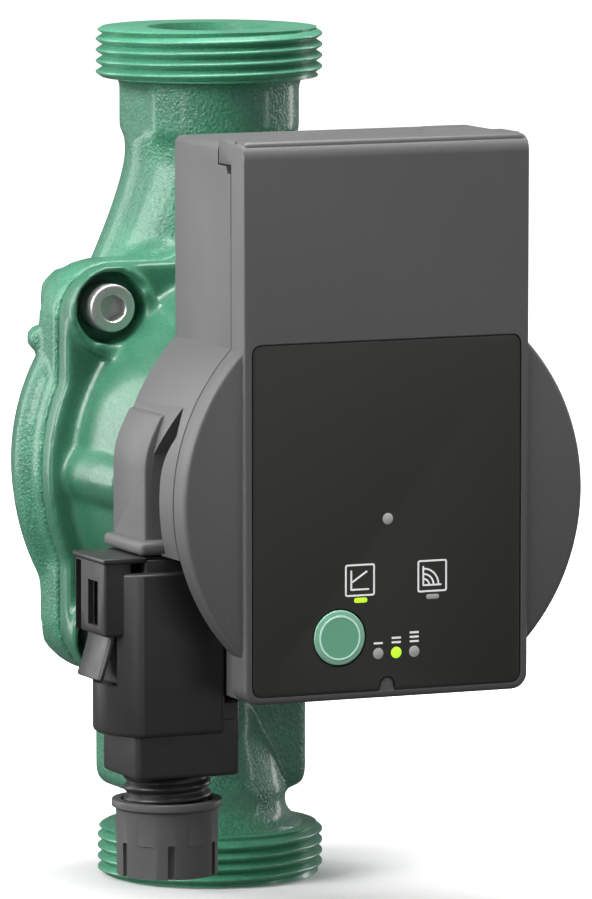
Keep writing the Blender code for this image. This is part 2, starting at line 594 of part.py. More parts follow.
insert_low, insert_high = (-5.3, -3.8, 70.0), (4.1, 6.6, INSERT_TOP)
connector_body = soften(prism("connector_body", connector_outline(), BODY_LOW, BODY_TOP, PLUG, BLACK), 0.8)
lower_box = soften(prism("gland_box", rounded_box(-10.7, -10.0, 12.1, 9.0, 2.0), BOX_LOW, BODY_LOW + 3,
                         PLUG), 0.6)
box_shoulder = soften(box("box_shoulder", (4.0, -10.0, BODY_LOW - 2), (12.1, 9.0, 48.9), PLUG), 0.6)
collar = box("collar", (-8.4, -8.6, BODY_TOP - 2), (5.9, 8.6, COLLAR_TOP), PLUG)
insert = box("insert", insert_low, insert_high, PLUG)
latch_guard = soften(box("latch_guard", (-17.0, -8.4, 62.6), (-11, 7.8, 78.6), PLUG), 0.6)
gland_stub = turned("gland_stub", [(0, 36), (8.4, 36), (8.4, 32.9), (GLAND_THREAD_R, 32.4),
                                   (GLAND_THREAD_R, 20), (8.4, 19.4), (0, 19.4)], PLUG)
join(connector_body, lower_box, box_shoulder, latch_guard, collar, insert, gland_stub)
cut(connector_body,
    box("wiring_room", (-8.6, -7.4, 37), (4.0, 7.4, 70), PLUG),
    cylinder("stub_bore", 6.9, 10, 40, PLUG),
    box("finger_room", (-25, -7.0, 52.4), (-12.6, 6.4, 62.7), PLUG),
    box("lever_room", (-15.9, -7.0, 40), (-12.6, 6.4, 76.9), PLUG),
    box("guard_window", (-25, -4.5, 64.5), (-14, 0.6, 73.6), PLUG),
    box("guard_slot", (-25, 4.3, 60), (-14, 7.0, 77.0), PLUG),
    boxes("blade_sockets", [((x - PLUG_X - 0.8, -(blade_depths[1] + 0.4) + PLUG_DEPTH, 80),
                             (x - PLUG_X + 0.8, -(blade_depths[0] - 0.4) + PLUG_DEPTH, 95))
                            for x in socket_blade_x], PLUG))

LATCH_PIVOT = (-14.2, 70.0)                      # x and height of the lever's pivot


def lever_outline():
    """Side view of the lever in x and height: flat stem, then a tongue that flares outwards."""
    outer = [(-14.9, 76.4), (-14.9, 63), (-15.6, 60), (-17.6, 53.6)]
    inner = [(-16.4, 53.2), (-14.4, 59), (-13.6, 63), (-13.6, 76.4)]
    return outer + inner


lever = bmesh.new()
prism_into(lever, lever_outline(), -6.4, 5.8)
bmesh.ops.rotate(lever, cent=(0, 0, 0), matrix=Matrix.Rotation(pi / 2, 3, "X"), verts=lever.verts)
bmesh.ops.translate(lever, vec=(-LATCH_PIVOT[0], 0, -LATCH_PIVOT[1]), verts=lever.verts)
latch_frame = (PLUG[0] + Vector((LATCH_PIVOT[0], 0, LATCH_PIVOT[1])), 0.0)
place("connector_latch", lever, latch_frame, BLACK)

connector_seal = box("connector_seal", (-8.0, -8.2, COLLAR_TOP + 0.15), (5.6, 8.2, COLLAR_TOP + 0.45),
                     PLUG, RUBBER)
cut(connector_seal, box("insert_room", (-5.6, -4.1, 70), (4.4, 6.9, 95), PLUG))
terminal_block = box("terminal_block", (-8.2, -6.9, 56), (3.6, 6.9, 68), PLUG,
                     ((0.5, 0.5, 0.48), 0.5, 0.0))
cut(terminal_block, *[cylinder(f"wire_way_{number}", 1.5, 50, 62, PLUG, None, 16, (x, 0))
                      for number, x in enumerate((-5.9, -2.3, 1.3))])
ring("gland_seal", CABLE_R + 0.2, 6.6, 20.6, 31.0, PLUG, RUBBER, 28)
turned("gland_ring", [(CABLE_R + 0.2, 19.0), (6.6, 19.0), (8.6, 17.4), (8.6, 15.4), (CABLE_R + 0.4, 15.4)],
       PLUG, BLACK, 28)

NUT_LOW, NUT_TOP, NUT_STEP = 12.4, 27.8, 19.4
gland_nut = turned("gland_nut", [(9.3, NUT_TOP), (11.3, NUT_TOP), (11.3, 26.3), (10.45, 26.0),
                                 (10.45, NUT_LOW), (5.2, NUT_LOW), (5.2, 15.1),
                                 (9.3, 15.1)], PLUG, BLACK, 32)
grips = bmesh.new()
for i in range(6):
    turn = i * pi / 3 + radians(12)
    centre = (10.9 * cos(turn), 10.9 * sin(turn))
    prism_into(grips, arc(centre, 1.0, 0, 2 * pi * 7 / 8, 7), NUT_LOW - 2, NUT_STEP)
cut(gland_nut, place("nut_grips", grips, PLUG))

bpy.context.view_layer.update()
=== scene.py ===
"""Wet-rotor heating circulator: green cast pump and motor housings, a grey electronics module with a
control panel, and a black mains connector with a cable gland.

Sizes are in millimetres until a piece is finished, when its mesh is turned to metres in the row frame.
"""

from math import asin, atan2, cos, hypot, pi, radians, sin, sqrt

import bmesh
import bpy
from mathutils import Matrix, Vector


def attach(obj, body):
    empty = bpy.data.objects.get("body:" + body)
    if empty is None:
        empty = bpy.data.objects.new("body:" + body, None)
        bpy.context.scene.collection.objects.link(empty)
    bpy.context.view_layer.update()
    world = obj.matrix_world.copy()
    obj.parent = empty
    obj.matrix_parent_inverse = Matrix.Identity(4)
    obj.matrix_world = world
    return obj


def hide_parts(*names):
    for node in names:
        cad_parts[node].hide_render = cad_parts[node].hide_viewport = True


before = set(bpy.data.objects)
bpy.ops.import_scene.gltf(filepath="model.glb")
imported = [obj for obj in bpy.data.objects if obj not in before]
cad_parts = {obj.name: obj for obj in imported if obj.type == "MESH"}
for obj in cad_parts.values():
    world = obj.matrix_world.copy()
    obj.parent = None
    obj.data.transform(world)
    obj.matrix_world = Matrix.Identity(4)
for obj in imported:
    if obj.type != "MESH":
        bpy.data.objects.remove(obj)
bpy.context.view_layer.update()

# ------------------------------------------------------------------------------------------ studio
# A white studio sweep: a pale floor with a painted glow, faint round the pump and rising to white away
# from it, softboxes on the left and overhead, lights behind on both sides, narrow strips beside the
# camera and a dim card in front.

CAMERA_AT = (-0.69396, -1.61354, 0.29623)
CAMERA_TURN = (radians(83.31), 0.0, radians(-23.87))
CAMERA_LENS = 334.2
SENSOR_HEIGHT = 36.0
SUBJECT = Vector((0.0, -0.03, 0.09))

scene = bpy.context.scene
scene.view_settings.view_transform = "Standard"
camera_data = bpy.data.cameras.new("camera")
camera_data.sensor_fit = "VERTICAL"
camera_data.sensor_height = SENSOR_HEIGHT
camera_data.lens = CAMERA_LENS
camera = bpy.data.objects.new("camera", camera_data)
camera.location = CAMERA_AT
camera.rotation_euler = CAMERA_TURN
scene.collection.objects.link(camera)
scene.camera = camera


def linear(colour):
    """Linear RGBA of an sRGB hex colour such as #4f9a78."""
    levels = [int(colour[i:i + 2], 16) / 255 for i in (1, 3, 5)]
    return (*[c / 12.92 if c <= 0.04045 else ((c + 0.055) / 1.055) ** 2.4 for c in levels], 1.0)


def add(tree, kind, inputs=None, **settings):
    """Add a node with its settings; an input is a value, or another node's output to link."""
    made = tree.nodes.new(kind)
    for name, value in settings.items():
        setattr(made, name, value)
    for socket, value in (inputs or {}).items():
        if isinstance(value, bpy.types.NodeSocket):
            tree.links.new(value, made.inputs[socket])
        else:
            made.inputs[socket].default_value = value
    return made


def finish(name, roughness, metallic=0.0, **sockets):
    """New material; returns it with its node tree and its shader. Names of sockets use _ for a space."""
    made = bpy.data.materials.new(name)
    made.use_nodes = True
    shader = made.node_tree.nodes["Principled BSDF"]
    shader.inputs["Roughness"].default_value = roughness
    shader.inputs["Metallic"].default_value = metallic
    for socket, value in sockets.items():
        shader.inputs[socket.replace("_", " ")].default_value = value
    return made, made.node_tree, shader


def softbox(name, direction, distance, width, height, watts):
    """Area light that faces the subject from a direction."""
    data = bpy.data.lights.new(name, "AREA")
    data.shape = "RECTANGLE"
    data.size, data.size_y = width, height
    data.energy = watts
    lamp = bpy.data.objects.new(name, data)
    toward = Vector(direction).normalized()
    lamp.location = SUBJECT + toward * distance
    lamp.rotation_euler = toward.to_track_quat("Z", "Y").to_euler()
    scene.collection.objects.link(lamp)


softbox("key_left", (-0.94, -0.12, 0.46), 0.7, 0.4, 0.4, 4.9)
softbox("strip_left_front", (-0.84, -0.54, 0.12), 1.3, 0.10, 0.9, 1.9)
softbox("left_back", (-0.62, 0.80, 0.22), 1.2, 0.4, 0.9, 5.0)
softbox("overhead", (0.02, -0.16, 1.0), 0.95, 0.9, 0.4, 16.0)
softbox("rim_right_back", (0.96, 0.26, 0.22), 1.1, 0.22, 0.9, 3.6)
softbox("strip_right_front", (0.83, -0.56, 0.18), 1.3, 0.08, 0.9, 1.8)
softbox("front_card", (0.39, -0.92, -0.02), 1.5, 1.0, 1.0, 1.2)

world = bpy.data.worlds.new("white_sweep")
world.use_nodes = True
world.node_tree.nodes["Background"].inputs["Color"].default_value = linear("#ffffff")
world.node_tree.nodes["Background"].inputs["Strength"].default_value = 0.15
scene.world = world

FLOOR_HALF = 6.0
FLOOR_LEVEL = -0.0003
SWEEP_BACK = 5.5
SWEEP_HEIGHT = 6.0
GLOW_STARTS, GLOW_FULL = 0.05, 0.40                    # painted glow: where the floor's emission starts to rise and where it reaches white

paper, tree, shader = finish("white_paper_with_painted_glow", 0.8, Specular_IOR_Level=0.2)
place = add(tree, "ShaderNodeTexCoord")
paper_fibre = add(tree, "ShaderNodeTexNoise", {"Vector": place.outputs["Object"], "Scale": 900.0,
                                               "Detail": 3.0})
paper_tone = add(tree, "ShaderNodeMix", {0: paper_fibre.outputs["Fac"], 6: linear("#f4f4f4"),
                                         7: linear("#f8f8f8")}, data_type="RGBA")
tree.links.new(paper_tone.outputs[2], shader.inputs["Base Color"])
# Painted glow: the floor's emission is faint near the pump, so its real shadow shows, and rises to white
# farther out.
shader.inputs["Emission Color"].default_value = linear("#ffffff")
away = add(tree, "ShaderNodeVectorMath", {0: place.outputs["Object"]}, operation="LENGTH")
glow_level = add(tree, "ShaderNodeMapRange", {"Value": away.outputs["Value"], "From Min": GLOW_STARTS,
                                              "From Max": GLOW_FULL, "To Min": 0.08, "To Max": 1.0},
                 interpolation_type="SMOOTHSTEP")
tree.links.new(glow_level.outputs["Result"], shader.inputs["Emission Strength"])

bm = bmesh.new()
bmesh.ops.create_grid(bm, x_segments=2, y_segments=2, size=FLOOR_HALF)
bmesh.ops.translate(bm, verts=bm.verts, vec=(0, 0, FLOOR_LEVEL))
mesh = bpy.data.meshes.new("floor")
bm.to_mesh(mesh)
bm.free()
mesh.materials.append(paper)
floor = bpy.data.objects.new("floor", mesh)
for ray in ("visible_diffuse", "visible_glossy"):
    setattr(floor, ray, False)                         # a bright sweep would light the pump from below
scene.collection.objects.link(floor)

glow, tree, shader = finish("white_backdrop", 1.0)
shader.inputs["Base Color"].default_value = linear("#ffffff")
shader.inputs["Emission Color"].default_value = linear("#ffffff")
shader.inputs["Emission Strength"].default_value = 1.0
bm = bmesh.new()
bmesh.ops.create_cone(bm, cap_ends=False, segments=48, radius1=SWEEP_BACK, radius2=SWEEP_BACK,
                      depth=SWEEP_HEIGHT)
bmesh.ops.reverse_faces(bm, faces=bm.faces)
mesh = bpy.data.meshes.new("backdrop")
bm.to_mesh(mesh)
bm.free()
mesh.materials.append(glow)
backdrop = bpy.data.objects.new("backdrop", mesh)
for ray in ("visible_diffuse", "visible_glossy", "visible_transmission", "visible_shadow"):
    setattr(backdrop, ray, False)
scene.collection.objects.link(backdrop)

# ------------------------------------------------------------------------------------ pump housing
# Grey-iron sand casting: two necks on the pipe axis, a volute between them and a flange in front.
# Cast, shot-blasted and painted green all over, so the sand grain still shows through the paint and
# every inside corner is a soft fillet.

MM = 0.001
ROTOR_HEIGHT = 90.0
PIPE = Matrix.Identity(4)
MOTOR = Matrix.Translation((0, 0, ROTOR_HEIGHT)) @ Matrix.Rotation(pi / 2, 4, "X")


def object_grain(tree, scale, detail=2.0, roughness=0.5, stretch=(1, 1, 1)):
    """Noise in object space, its scale given as the size of one grain in millimetres."""
    place = add(tree, "ShaderNodeTexCoord")
    turn = add(tree, "ShaderNodeMapping", {"Vector": place.outputs["Object"], "Scale": stretch})
    return add(tree, "ShaderNodeTexNoise", {"Vector": turn.outputs["Vector"], "Scale": 1 / (scale * MM),
                                            "Detail": detail, "Roughness": roughness}).outputs["Fac"]


def between(tree, factor, low, high):
    """Spread a factor's narrow middle range over low to high."""
    return add(tree, "ShaderNodeMapRange", {"Value": factor, "From Min": 0.32, "From Max": 0.68,
                                            "To Min": low, "To Max": high}).outputs["Result"]


def tones(tree, factor, dark, light):
    """Blend two sRGB colours by a factor."""
    return add(tree, "ShaderNodeMix", {0: factor, 6: linear(dark), 7: linear(light)},
               data_type="RGBA").outputs[2]


def relief(tree, shader, *layers):
    """Stack bumps, each a height and its depth in millimetres, and feed the shader's normal."""
    normal = None
    for height, depth in layers:
        inputs = {"Height": height, "Distance": depth * MM}
        if normal is not None:
            inputs["Normal"] = normal
        normal = add(tree, "ShaderNodeBump", inputs).outputs["Normal"]
    tree.links.new(normal, shader.inputs["Normal"])


def socket(tree, shader, name, value):
    """Feed one of the shader's inputs from a node."""
    tree.links.new(value, shader.inputs[name])


def painted_iron(name, dark, light, grain_depth, gloss):
    """Green enamel on a casting: sand grain 0.6 mm across under the paint, slow ripples of paint
    thickness 9 mm apart, and grain tops painted lighter as painted glints of light on the grain."""
    made, tree, shader = finish(name, 0.3, Coat_Weight=0.35, Coat_Roughness=0.14, Specular_IOR_Level=0.55)
    sand = object_grain(tree, 0.6, 2.0, 0.55)
    ripple = object_grain(tree, 9.0, 2.0)
    # Painted highlight: the grain tops are lightened in the colour to stand for light glinting on the sand
    # grain.
    painted_grain_glint = between(tree, sand, 0.0, 0.75)
    thin = between(tree, ripple, -0.1, 0.3)
    painted_glint_and_ripple = add(tree, "ShaderNodeMath", {0: painted_grain_glint, 1: thin}, operation="ADD",
               use_clamp=True).outputs["Value"]
    socket(tree, shader, "Base Color", tones(tree, painted_glint_and_ripple, dark, light))
    socket(tree, shader, "Roughness", between(tree, sand, gloss + 0.12, gloss - 0.06))
    relief(tree, shader, (ripple, 0.12), (sand, grain_depth))
    return made


cast_paint = painted_iron("green_enamel_on_sand_cast_iron", "#38705a", "#4f9877", 0.36, 0.32)


def arc(centre, radius, start, end, steps):
    """Points along an arc, both ends included."""
    turns = [start + (end - start) * step / steps for step in range(steps + 1)]
    return [(centre[0] + radius * cos(a), centre[1] + radius * sin(a)) for a in turns]


def tidy(bm):
    """Weld what meets and turn every face outwards."""
    bmesh.ops.remove_doubles(bm, verts=bm.verts, dist=0.002)
    bmesh.ops.recalc_face_normals(bm, faces=bm.faces)
    return bm


def spun(profile, steps=96, centre=(0, 0)):
    """Turned shape from (radius, height) points; a profile off the axis closes into a ring."""
    bm = bmesh.new()
    verts = [bm.verts.new((r, 0, z)) for r, z in profile]
    pairs = list(zip(verts, verts[1:]))
    if profile[0][0] > 0:
        pairs.append((verts[-1], verts[0]))
    edges = [bm.edges.new(pair) for pair in pairs]
    bmesh.ops.spin(bm, geom=verts + edges, cent=(0, 0, 0), axis=(0, 0, 1), angle=2 * pi, steps=steps,
                   use_merge=True)
    bmesh.ops.translate(bm, verts=bm.verts, vec=(*centre, 0))
    return tidy(bm)


def slab(outline, low, high, front=0.0, back=0.0, segments=3):
    """Extrude an outline from low to high and round its front and back rims."""
    bm = bmesh.new()
    base = bm.faces.new([bm.verts.new((x, y, low)) for x, y in outline])
    lifted = bmesh.ops.extrude_face_region(bm, geom=[base])["geom"]
    raised = [v for v in lifted if isinstance(v, bmesh.types.BMVert)]
    bmesh.ops.translate(bm, vec=(0, 0, high - low), verts=raised)
    for level, width in ((high, front), (low, back)):
        if width:
            rim = [e for e in bm.edges if all(abs(v.co.z - level) < 1e-4 for v in e.verts)]
            bmesh.ops.bevel(bm, geom=rim, offset=width, affect="EDGES", segments=segments, profile=0.5,
                            material=-1)
    return tidy(bm)


def block(low, high, edge=0.0, segments=3):
    """Box between two corners with rounded edges."""
    bm = bmesh.new()
    bmesh.ops.create_cube(bm, size=1.0)
    bmesh.ops.scale(bm, vec=[b - a for a, b in zip(low, high)], verts=bm.verts)
    bmesh.ops.translate(bm, vec=[(a + b) / 2 for a, b in zip(low, high)], verts=bm.verts)
    if edge:
        bmesh.ops.bevel(bm, geom=bm.edges, offset=edge, affect="EDGES", segments=segments, profile=0.5,
                        material=-1)
    return tidy(bm)


def loft(sections, points=64):
    """Bridge ovals given as (height, centre y, half width, half depth), lowest first."""
    bm = bmesh.new()
    loops = []
    for z, cy, hx, hy in sections:
        ring = bmesh.ops.create_circle(bm, segments=points, radius=1.0)["verts"]
        bmesh.ops.scale(bm, vec=(hx, hy, 1), verts=ring)
        bmesh.ops.translate(bm, vec=(0, cy, z), verts=ring)
        loops.append(list({e for v in ring for e in v.link_edges}))
    for lower, upper in zip(loops, loops[1:]):
        bmesh.ops.bridge_loops(bm, edges=lower + upper)
    bmesh.ops.holes_fill(bm, edges=loops[0] + loops[-1], sides=0)
    return tidy(bm)


def moved(bm, matrix):
    """Stand a shape in another frame, still in millimetres."""
    bmesh.ops.transform(bm, matrix=matrix, verts=bm.verts)
    if matrix.determinant() < 0:
        bmesh.ops.reverse_faces(bm, faces=bm.faces)
    return bm


def as_object(bm):
    """Hand a shape to a scratch object, for modifiers to work on."""
    mesh = bpy.data.meshes.new("scratch")
    bm.to_mesh(mesh)
    bm.free()
    made = bpy.data.objects.new("scratch", mesh)
    scene.collection.objects.link(made)
    return made


def evaluated(made, *others):
    """The shape that an object's modifiers give; the scratch objects are removed."""
    result = bmesh.new()
    result.from_object(made, bpy.context.evaluated_depsgraph_get())
    for scratch in (made, *others):
        mesh = scratch.data
        bpy.data.objects.remove(scratch)
        bpy.data.meshes.remove(mesh)
    return result


def combined(body, joined=(), removed=(), solver="EXACT"):
    """Union with the joined shapes, then the removed ones cut away."""
    made = as_object(body)
    others = [("UNION", as_object(bm)) for bm in joined] + [("DIFFERENCE", as_object(bm)) for bm in removed]
    for operation, other in others:
        step = made.modifiers.new(operation.lower(), "BOOLEAN")
        step.operation = operation
        step.solver = solver
        step.object = other
    return evaluated(made, *[other for _, other in others])


def cast(bm, grain=0.9, rounds=6):
    """Give a sharp shape the soft fillets of a casting: an even mesh of the grain's size, then smoothed."""
    made = as_object(bm)
    even = made.modifiers.new("even", "REMESH")
    even.mode = "VOXEL"
    even.voxel_size = grain
    soften = made.modifiers.new("soften", "SMOOTH")
    soften.factor = 0.5
    soften.iterations = rounds
    return evaluated(made)


def four(make):
    """A shape made at the upper right corner, repeated at all four about the rotor axis."""
    shapes = []
    for flip_x in (1, -1):
        for flip_y in (1, -1):
            shapes.append(moved(make(), Matrix.Diagonal((flip_x, flip_y, 1, 1))))
    return shapes


def piece(name, bm, at, look, body, slot, *stands_for, crease=40):
    """Finish a shape as a piece of the object, in metres, riding on a body."""
    bmesh.ops.transform(bm, matrix=Matrix.Scale(MM, 4) @ at, verts=bm.verts)
    mesh = bpy.data.meshes.new(name)
    bm.to_mesh(mesh)
    bm.free()
    mesh.materials.append(look)
    mesh.shade_smooth()
    mesh.set_sharp_from_angle(angle=radians(crease))
    made = bpy.data.objects.new(name, mesh)
    scene.collection.objects.link(made)
    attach(made, body)
    if stands_for:
        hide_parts(*stands_for)
    return made


PORT_TO_PORT = 180.0
COLLAR_LENGTH = 10.5
THREAD_R = 23.9                                        # over the crests of a G 1 1/2 thread
THREAD_PITCH = 2.309
THREAD_DEPTH = 1.48
BORE_R = 13.0
NECK_FLAT = 16.5
SCREW_AT = 34.4
SCREW_SPOT = (SCREW_AT, SCREW_AT)
FLANGE_R, FLANGE_HALF, FLANGE_CORNER = 47.2, 43.3, 12.0


def flange_outline(inset=0.0):
    """Round body with a square corner at each flange screw."""
    swing = atan2(sqrt(FLANGE_R ** 2 - FLANGE_HALF ** 2), FLANGE_HALF)
    middle = hypot(FLANGE_HALF - FLANGE_CORNER, FLANGE_HALF - FLANGE_CORNER)
    line = []
    for quarter in range(4):
        turn = quarter * pi / 2
        line += arc((0, 0), FLANGE_R - inset, turn - swing, turn + swing, 10)
        centre = (middle * cos(turn + pi / 4), middle * sin(turn + pi / 4))
        line += arc(centre, FLANGE_CORNER - inset, turn, turn + pi / 2, 12)
    return line


upper_neck = spun([(0, PORT_TO_PORT - 1), (20, PORT_TO_PORT - 1), (20, 169.6), (19.24, 168.4),
                   (19.24, 158.5), (17.8, 156.5), (17.8, 151), (0, 151)])
flats = [block((low, -25, 157), (low + 7, 25, 168.2)) for low in (-NECK_FLAT - 7, NECK_FLAT)]
flare = [(z, 0, 17.8 + 8.6 * ((153 - z) / 22.0) ** 1.3, 17.8) for z in range(113, 154, 2)]
upper_flare = loft([*flare, (157, 0, 16.6, 16.6)])
lower_neck = spun([(0, 19.5), (16, 19.5), (16, 14.6), (17, 12.6), (20, 10.6), (20, 1), (0, 1)])
leaning_neck = loft([(15, 0, 14.4, 14.4), (19.8, 0.8, 16, 16), (24, 2.5, 16, 16), (31, 5.5, 16, 16),
                     (40, 7.5, 17, 16), (62, 8, 19.3, 14)])
suction_block = block((-20, -8, 17.5), (20, 18, 62), 3.4, 4)
volute_line = [(0, 15), (48.6, 15), (49.4, 11.5), (48.6, 8.5), (47, 4.5), (44.6, -2), (41, -9), (36, -15),
               (28, -20), (16, -22.6), (0, -23)]
volute = moved(spun(volute_line, 128), MOTOR)
bosses = four(lambda: spun([(0, 12), (7, 12), (7, 5.4), (0, 5.4)], 48, SCREW_SPOT))
bosses = [moved(bm, MOTOR) for bm in bosses]
nub = moved(spun([(0, 10.5), (2.8, 10.5), (2.8, 6), (0, 6)], 32, (-41.7, 26.5)), MOTOR)
suction_way = loft([(-5, 0, BORE_R, BORE_R), (20, 0, BORE_R, BORE_R), (24, 1.2, BORE_R, 12),
                    (28, 2.5, BORE_R, 11.5), (34, 5, BORE_R, 10.8), (46, 8.5, BORE_R, 9),
                    (56, 9.3, BORE_R, 6.9), (101, 9.3, BORE_R, 6.9)])
upper_bore = spun([(0, 190), (BORE_R, 190), (BORE_R, 116), (0, 116)])
eye = moved(spun([(0, 5), (13.4, 5), (13.4, -6), (0, -6)]), MOTOR)
impeller_room = moved(spun([(0, 25), (37, 25), (37, 3), (0, 3)]), MOTOR)

neck_and_flare = combined(upper_neck, [], flats)
body = combined(moved(slab(flange_outline(), 10, 20), MOTOR),
                [volute, suction_block, leaning_neck, lower_neck, upper_flare, neck_and_flare, nub, *bosses],
                [upper_bore, suction_way, eye, impeller_room])
body = cast(body)
piece("pump_casting", body, PIPE, cast_paint, "pump", "green_casting", "pump_housing", crease=180)


def screw_thread(radius, depth, pitch, low, high, bore, steps=96):
    """True helix: a profile several pitches long is spun one turn while it climbs one pitch, then
    trimmed flat at both ends and given its bore."""
    bm = bmesh.new()
    root = radius - depth
    turns = int((high - low) / pitch) + 3
    profile = []
    z = low - pitch * 1.5
    for _ in range(turns):
        profile += [(root, z), (root + depth * 0.82, z + pitch * 0.34), (radius, z + pitch * 0.44),
                    (radius, z + pitch * 0.56), (root + depth * 0.82, z + pitch * 0.66)]
        z += pitch
    profile.append((root, z))
    verts = [bm.verts.new((r, 0, z)) for r, z in profile]
    edges = [bm.edges.new(pair) for pair in zip(verts, verts[1:])]
    bmesh.ops.spin(bm, geom=verts + edges, cent=(0, 0, 0), axis=(0, 0, 1), angle=2 * pi, steps=steps,
                   dvec=(0, 0, pitch / steps), use_merge=False)
    bmesh.ops.remove_doubles(bm, verts=bm.verts, dist=0.002)
    for level, up in ((low, -1), (high, 1)):
        whole = list(bm.verts) + list(bm.edges) + list(bm.faces)
        bmesh.ops.bisect_plane(bm, geom=whole, plane_co=(0, 0, level), plane_no=(0, 0, up), clear_outer=True)
    chamfer = depth * 0.8                              # both ends are turned down to start the nut
    for v in bm.verts:
        limit = radius - chamfer + min(v.co.z - low, high - v.co.z) * 1.6
        reach = hypot(v.co.x, v.co.y)
        if reach > limit:
            v.co.x *= limit / reach
            v.co.y *= limit / reach
    for level in (low, high):
        rim = [e for e in bm.edges if e.is_boundary and all(abs(v.co.z - level) < 1e-3 for v in e.verts)]
        inner = bmesh.ops.create_circle(bm, segments=steps, radius=bore)["verts"]
        bmesh.ops.translate(bm, vec=(0, 0, level), verts=inner)
        ring = list({e for v in inner for e in v.link_edges})
        bmesh.ops.bridge_loops(bm, edges=rim + ring)
    bore_rims = [e for e in bm.edges if e.is_boundary]
    bmesh.ops.bridge_loops(bm, edges=bore_rims)
    return tidy(bm)


# The same paint on turned metal: no sand grain, so it is smoother and a little lighter.
thread_paint = painted_iron("green_enamel_on_machined_iron", "#458a6b", "#55a582", 0.02, 0.34)
for name, low in (("upper_port_thread", PORT_TO_PORT - COLLAR_LENGTH), ("lower_port_thread", 0.0)):
    piece(name, screw_thread(THREAD_R, THREAD_DEPTH, THREAD_PITCH, low, low + COLLAR_LENGTH, BORE_R),
          PIPE, thread_paint, "pump", "green_casting", crease=50)

# ----------------------------------------------------------------------------------- motor housing
# Aluminium pressure die casting, bolted to the pump by four screws: a flange like the pump's, a dish
# with an arm from each corner, and a tapered can for the stator. Finer skin than the iron, and a darker
# green than the pump's, as painted shade.

# Painted shade: both greens are darker than the pump's, for the shade on the motor housing behind the module.
shaded_diecast_paint = painted_iron("green_enamel_on_die_cast_aluminium_painted_shade", "#336b52", "#3f7d61", 0.08, 0.36)

ARM_HALF, ARM_FRONT = 8.2, 29.5
arm_line = [(20, -ARM_HALF), (46, -ARM_HALF), (46, ARM_HALF), (20, ARM_HALF)]
arm_line = [((x - y) * sqrt(0.5), (x + y) * sqrt(0.5)) for x, y in arm_line]
corner_spot = (SCREW_AT - 0.9, SCREW_AT - 0.9)
arms = four(lambda: slab(arm_line, 24, ARM_FRONT))
pads = four(lambda: spun([(0, 28.6), (9.6, 28.6), (9.6, 24), (0, 24)], 64, corner_spot))
pockets = four(lambda: spun([(0, 40), (7.6, 40), (7.5, 23.5), (0, 23.5)], 64, SCREW_SPOT))
screw_holes = four(lambda: spun([(0, 40), (3.3, 40), (3.3, 4), (0, 4)], 32, SCREW_SPOT))
cone = spun([(0, 54.7), (39.3, 54.7), (41.8, 27.5), (42.8, 25), (42.8, 24), (0, 24)], 128)
lug = loft([(-3, 0, 9.4, 8.0), (10, 0, 9.0, 7.6), (20, 0, 8.2, 6.8)], 48)
lug = moved(lug, Matrix.Translation((-34.5, 0, 30)))
stator_room = spun([(0, 60), (31.8, 60), (31.8, 24), (0, 24)])
can_hole = spun([(0, 25), (14.6, 25), (14.6, 15), (0, 15)])
can_recess = spun([(0, 21.3), (36.8, 21.3), (36.8, 15), (0, 15)])
motor = combined(slab(flange_outline(0.2), 20.3, 26), [*arms, *pads, cone, lug],
                 [*pockets, stator_room, can_hole, can_recess, *screw_holes])
motor = cast(motor, 0.75, 4)
piece("motor_casting", motor, MOTOR, shaded_diecast_paint, "pump", "green_casting", "motor_housing", crease=180)

# ------------------------------------------------------------------------------------ flange screws
# M6 socket-head cap screws, cold-headed steel with bright zinc plating: a turned head with a rounded
# rim and a broached 5 mm hexagon socket, seated in the motor flange's corner pockets.

# Bright but not a mirror: the turning leaves fine rings that spread the highlight.
bright_zinc, tree, shader = finish("zinc_plated_steel", 0.42, 0.9)
turning = object_grain(tree, 0.9, 1.0, 0.5, (1, 0.15, 1))
socket(tree, shader, "Base Color", tones(tree, turning, "#cfcfcc", "#dcdcd8"))
socket(tree, shader, "Roughness", between(tree, turning, 0.38, 0.45))
relief(tree, shader, (turning, 0.002))

HEAD_R, HEAD_FRONT, HEAD_BACK = 5.0, 29.8, 23.8
HEX_FLATS, HEX_FLOOR = 5.0, 26.6


def eased(points, reach, closed=False, steps=4):
    """Round the corners of a line of points; a point's third value is its own reach."""
    line = []
    for number, point in enumerate(points):
        here = Vector(point[:2])
        own = point[2] if len(point) > 2 else reach
        if own == 0 or (not closed and number in (0, len(points) - 1)):
            line.append(tuple(here))
            continue
        back = Vector(points[number - 1][:2]) - here
        ahead = Vector(points[(number + 1) % len(points)][:2]) - here
        own = min(own, back.length * 0.49, ahead.length * 0.49)
        start, end = here + back.normalized() * own, here + ahead.normalized() * own
        for step in range(steps + 1):
            t = step / steps
            line.append(tuple(start * (1 - t) ** 2 + here * 2 * t * (1 - t) + end * t * t))
    return line


def cap_screw(centre):
    """Head and shank turned in one, with a six-sided socket let into the face."""
    body = spun(eased([(0, HEAD_FRONT), (HEAD_R, HEAD_FRONT, 0.7), (HEAD_R, HEAD_BACK, 0.2),
                       (3.0, HEAD_BACK, 0), (3.0, 8, 0.5), (0, 8)], 0.3), 64)
    hexagon = arc((0, 0), HEX_FLATS / (2 * cos(pi / 6)), pi / 6, pi / 6 + 2 * pi * 5 / 6, 5)
    drive = slab(hexagon, HEX_FLOOR, HEAD_FRONT + 3)
    lead_in = spun([(0, HEAD_FRONT + 0.3), (3.25, HEAD_FRONT + 0.3), (2.75, HEAD_FRONT - 0.25),
                    (0, HEAD_FRONT - 0.25)], 48)
    return moved(combined(body, [], [drive, lead_in]), Matrix.Translation((*centre, 0)))


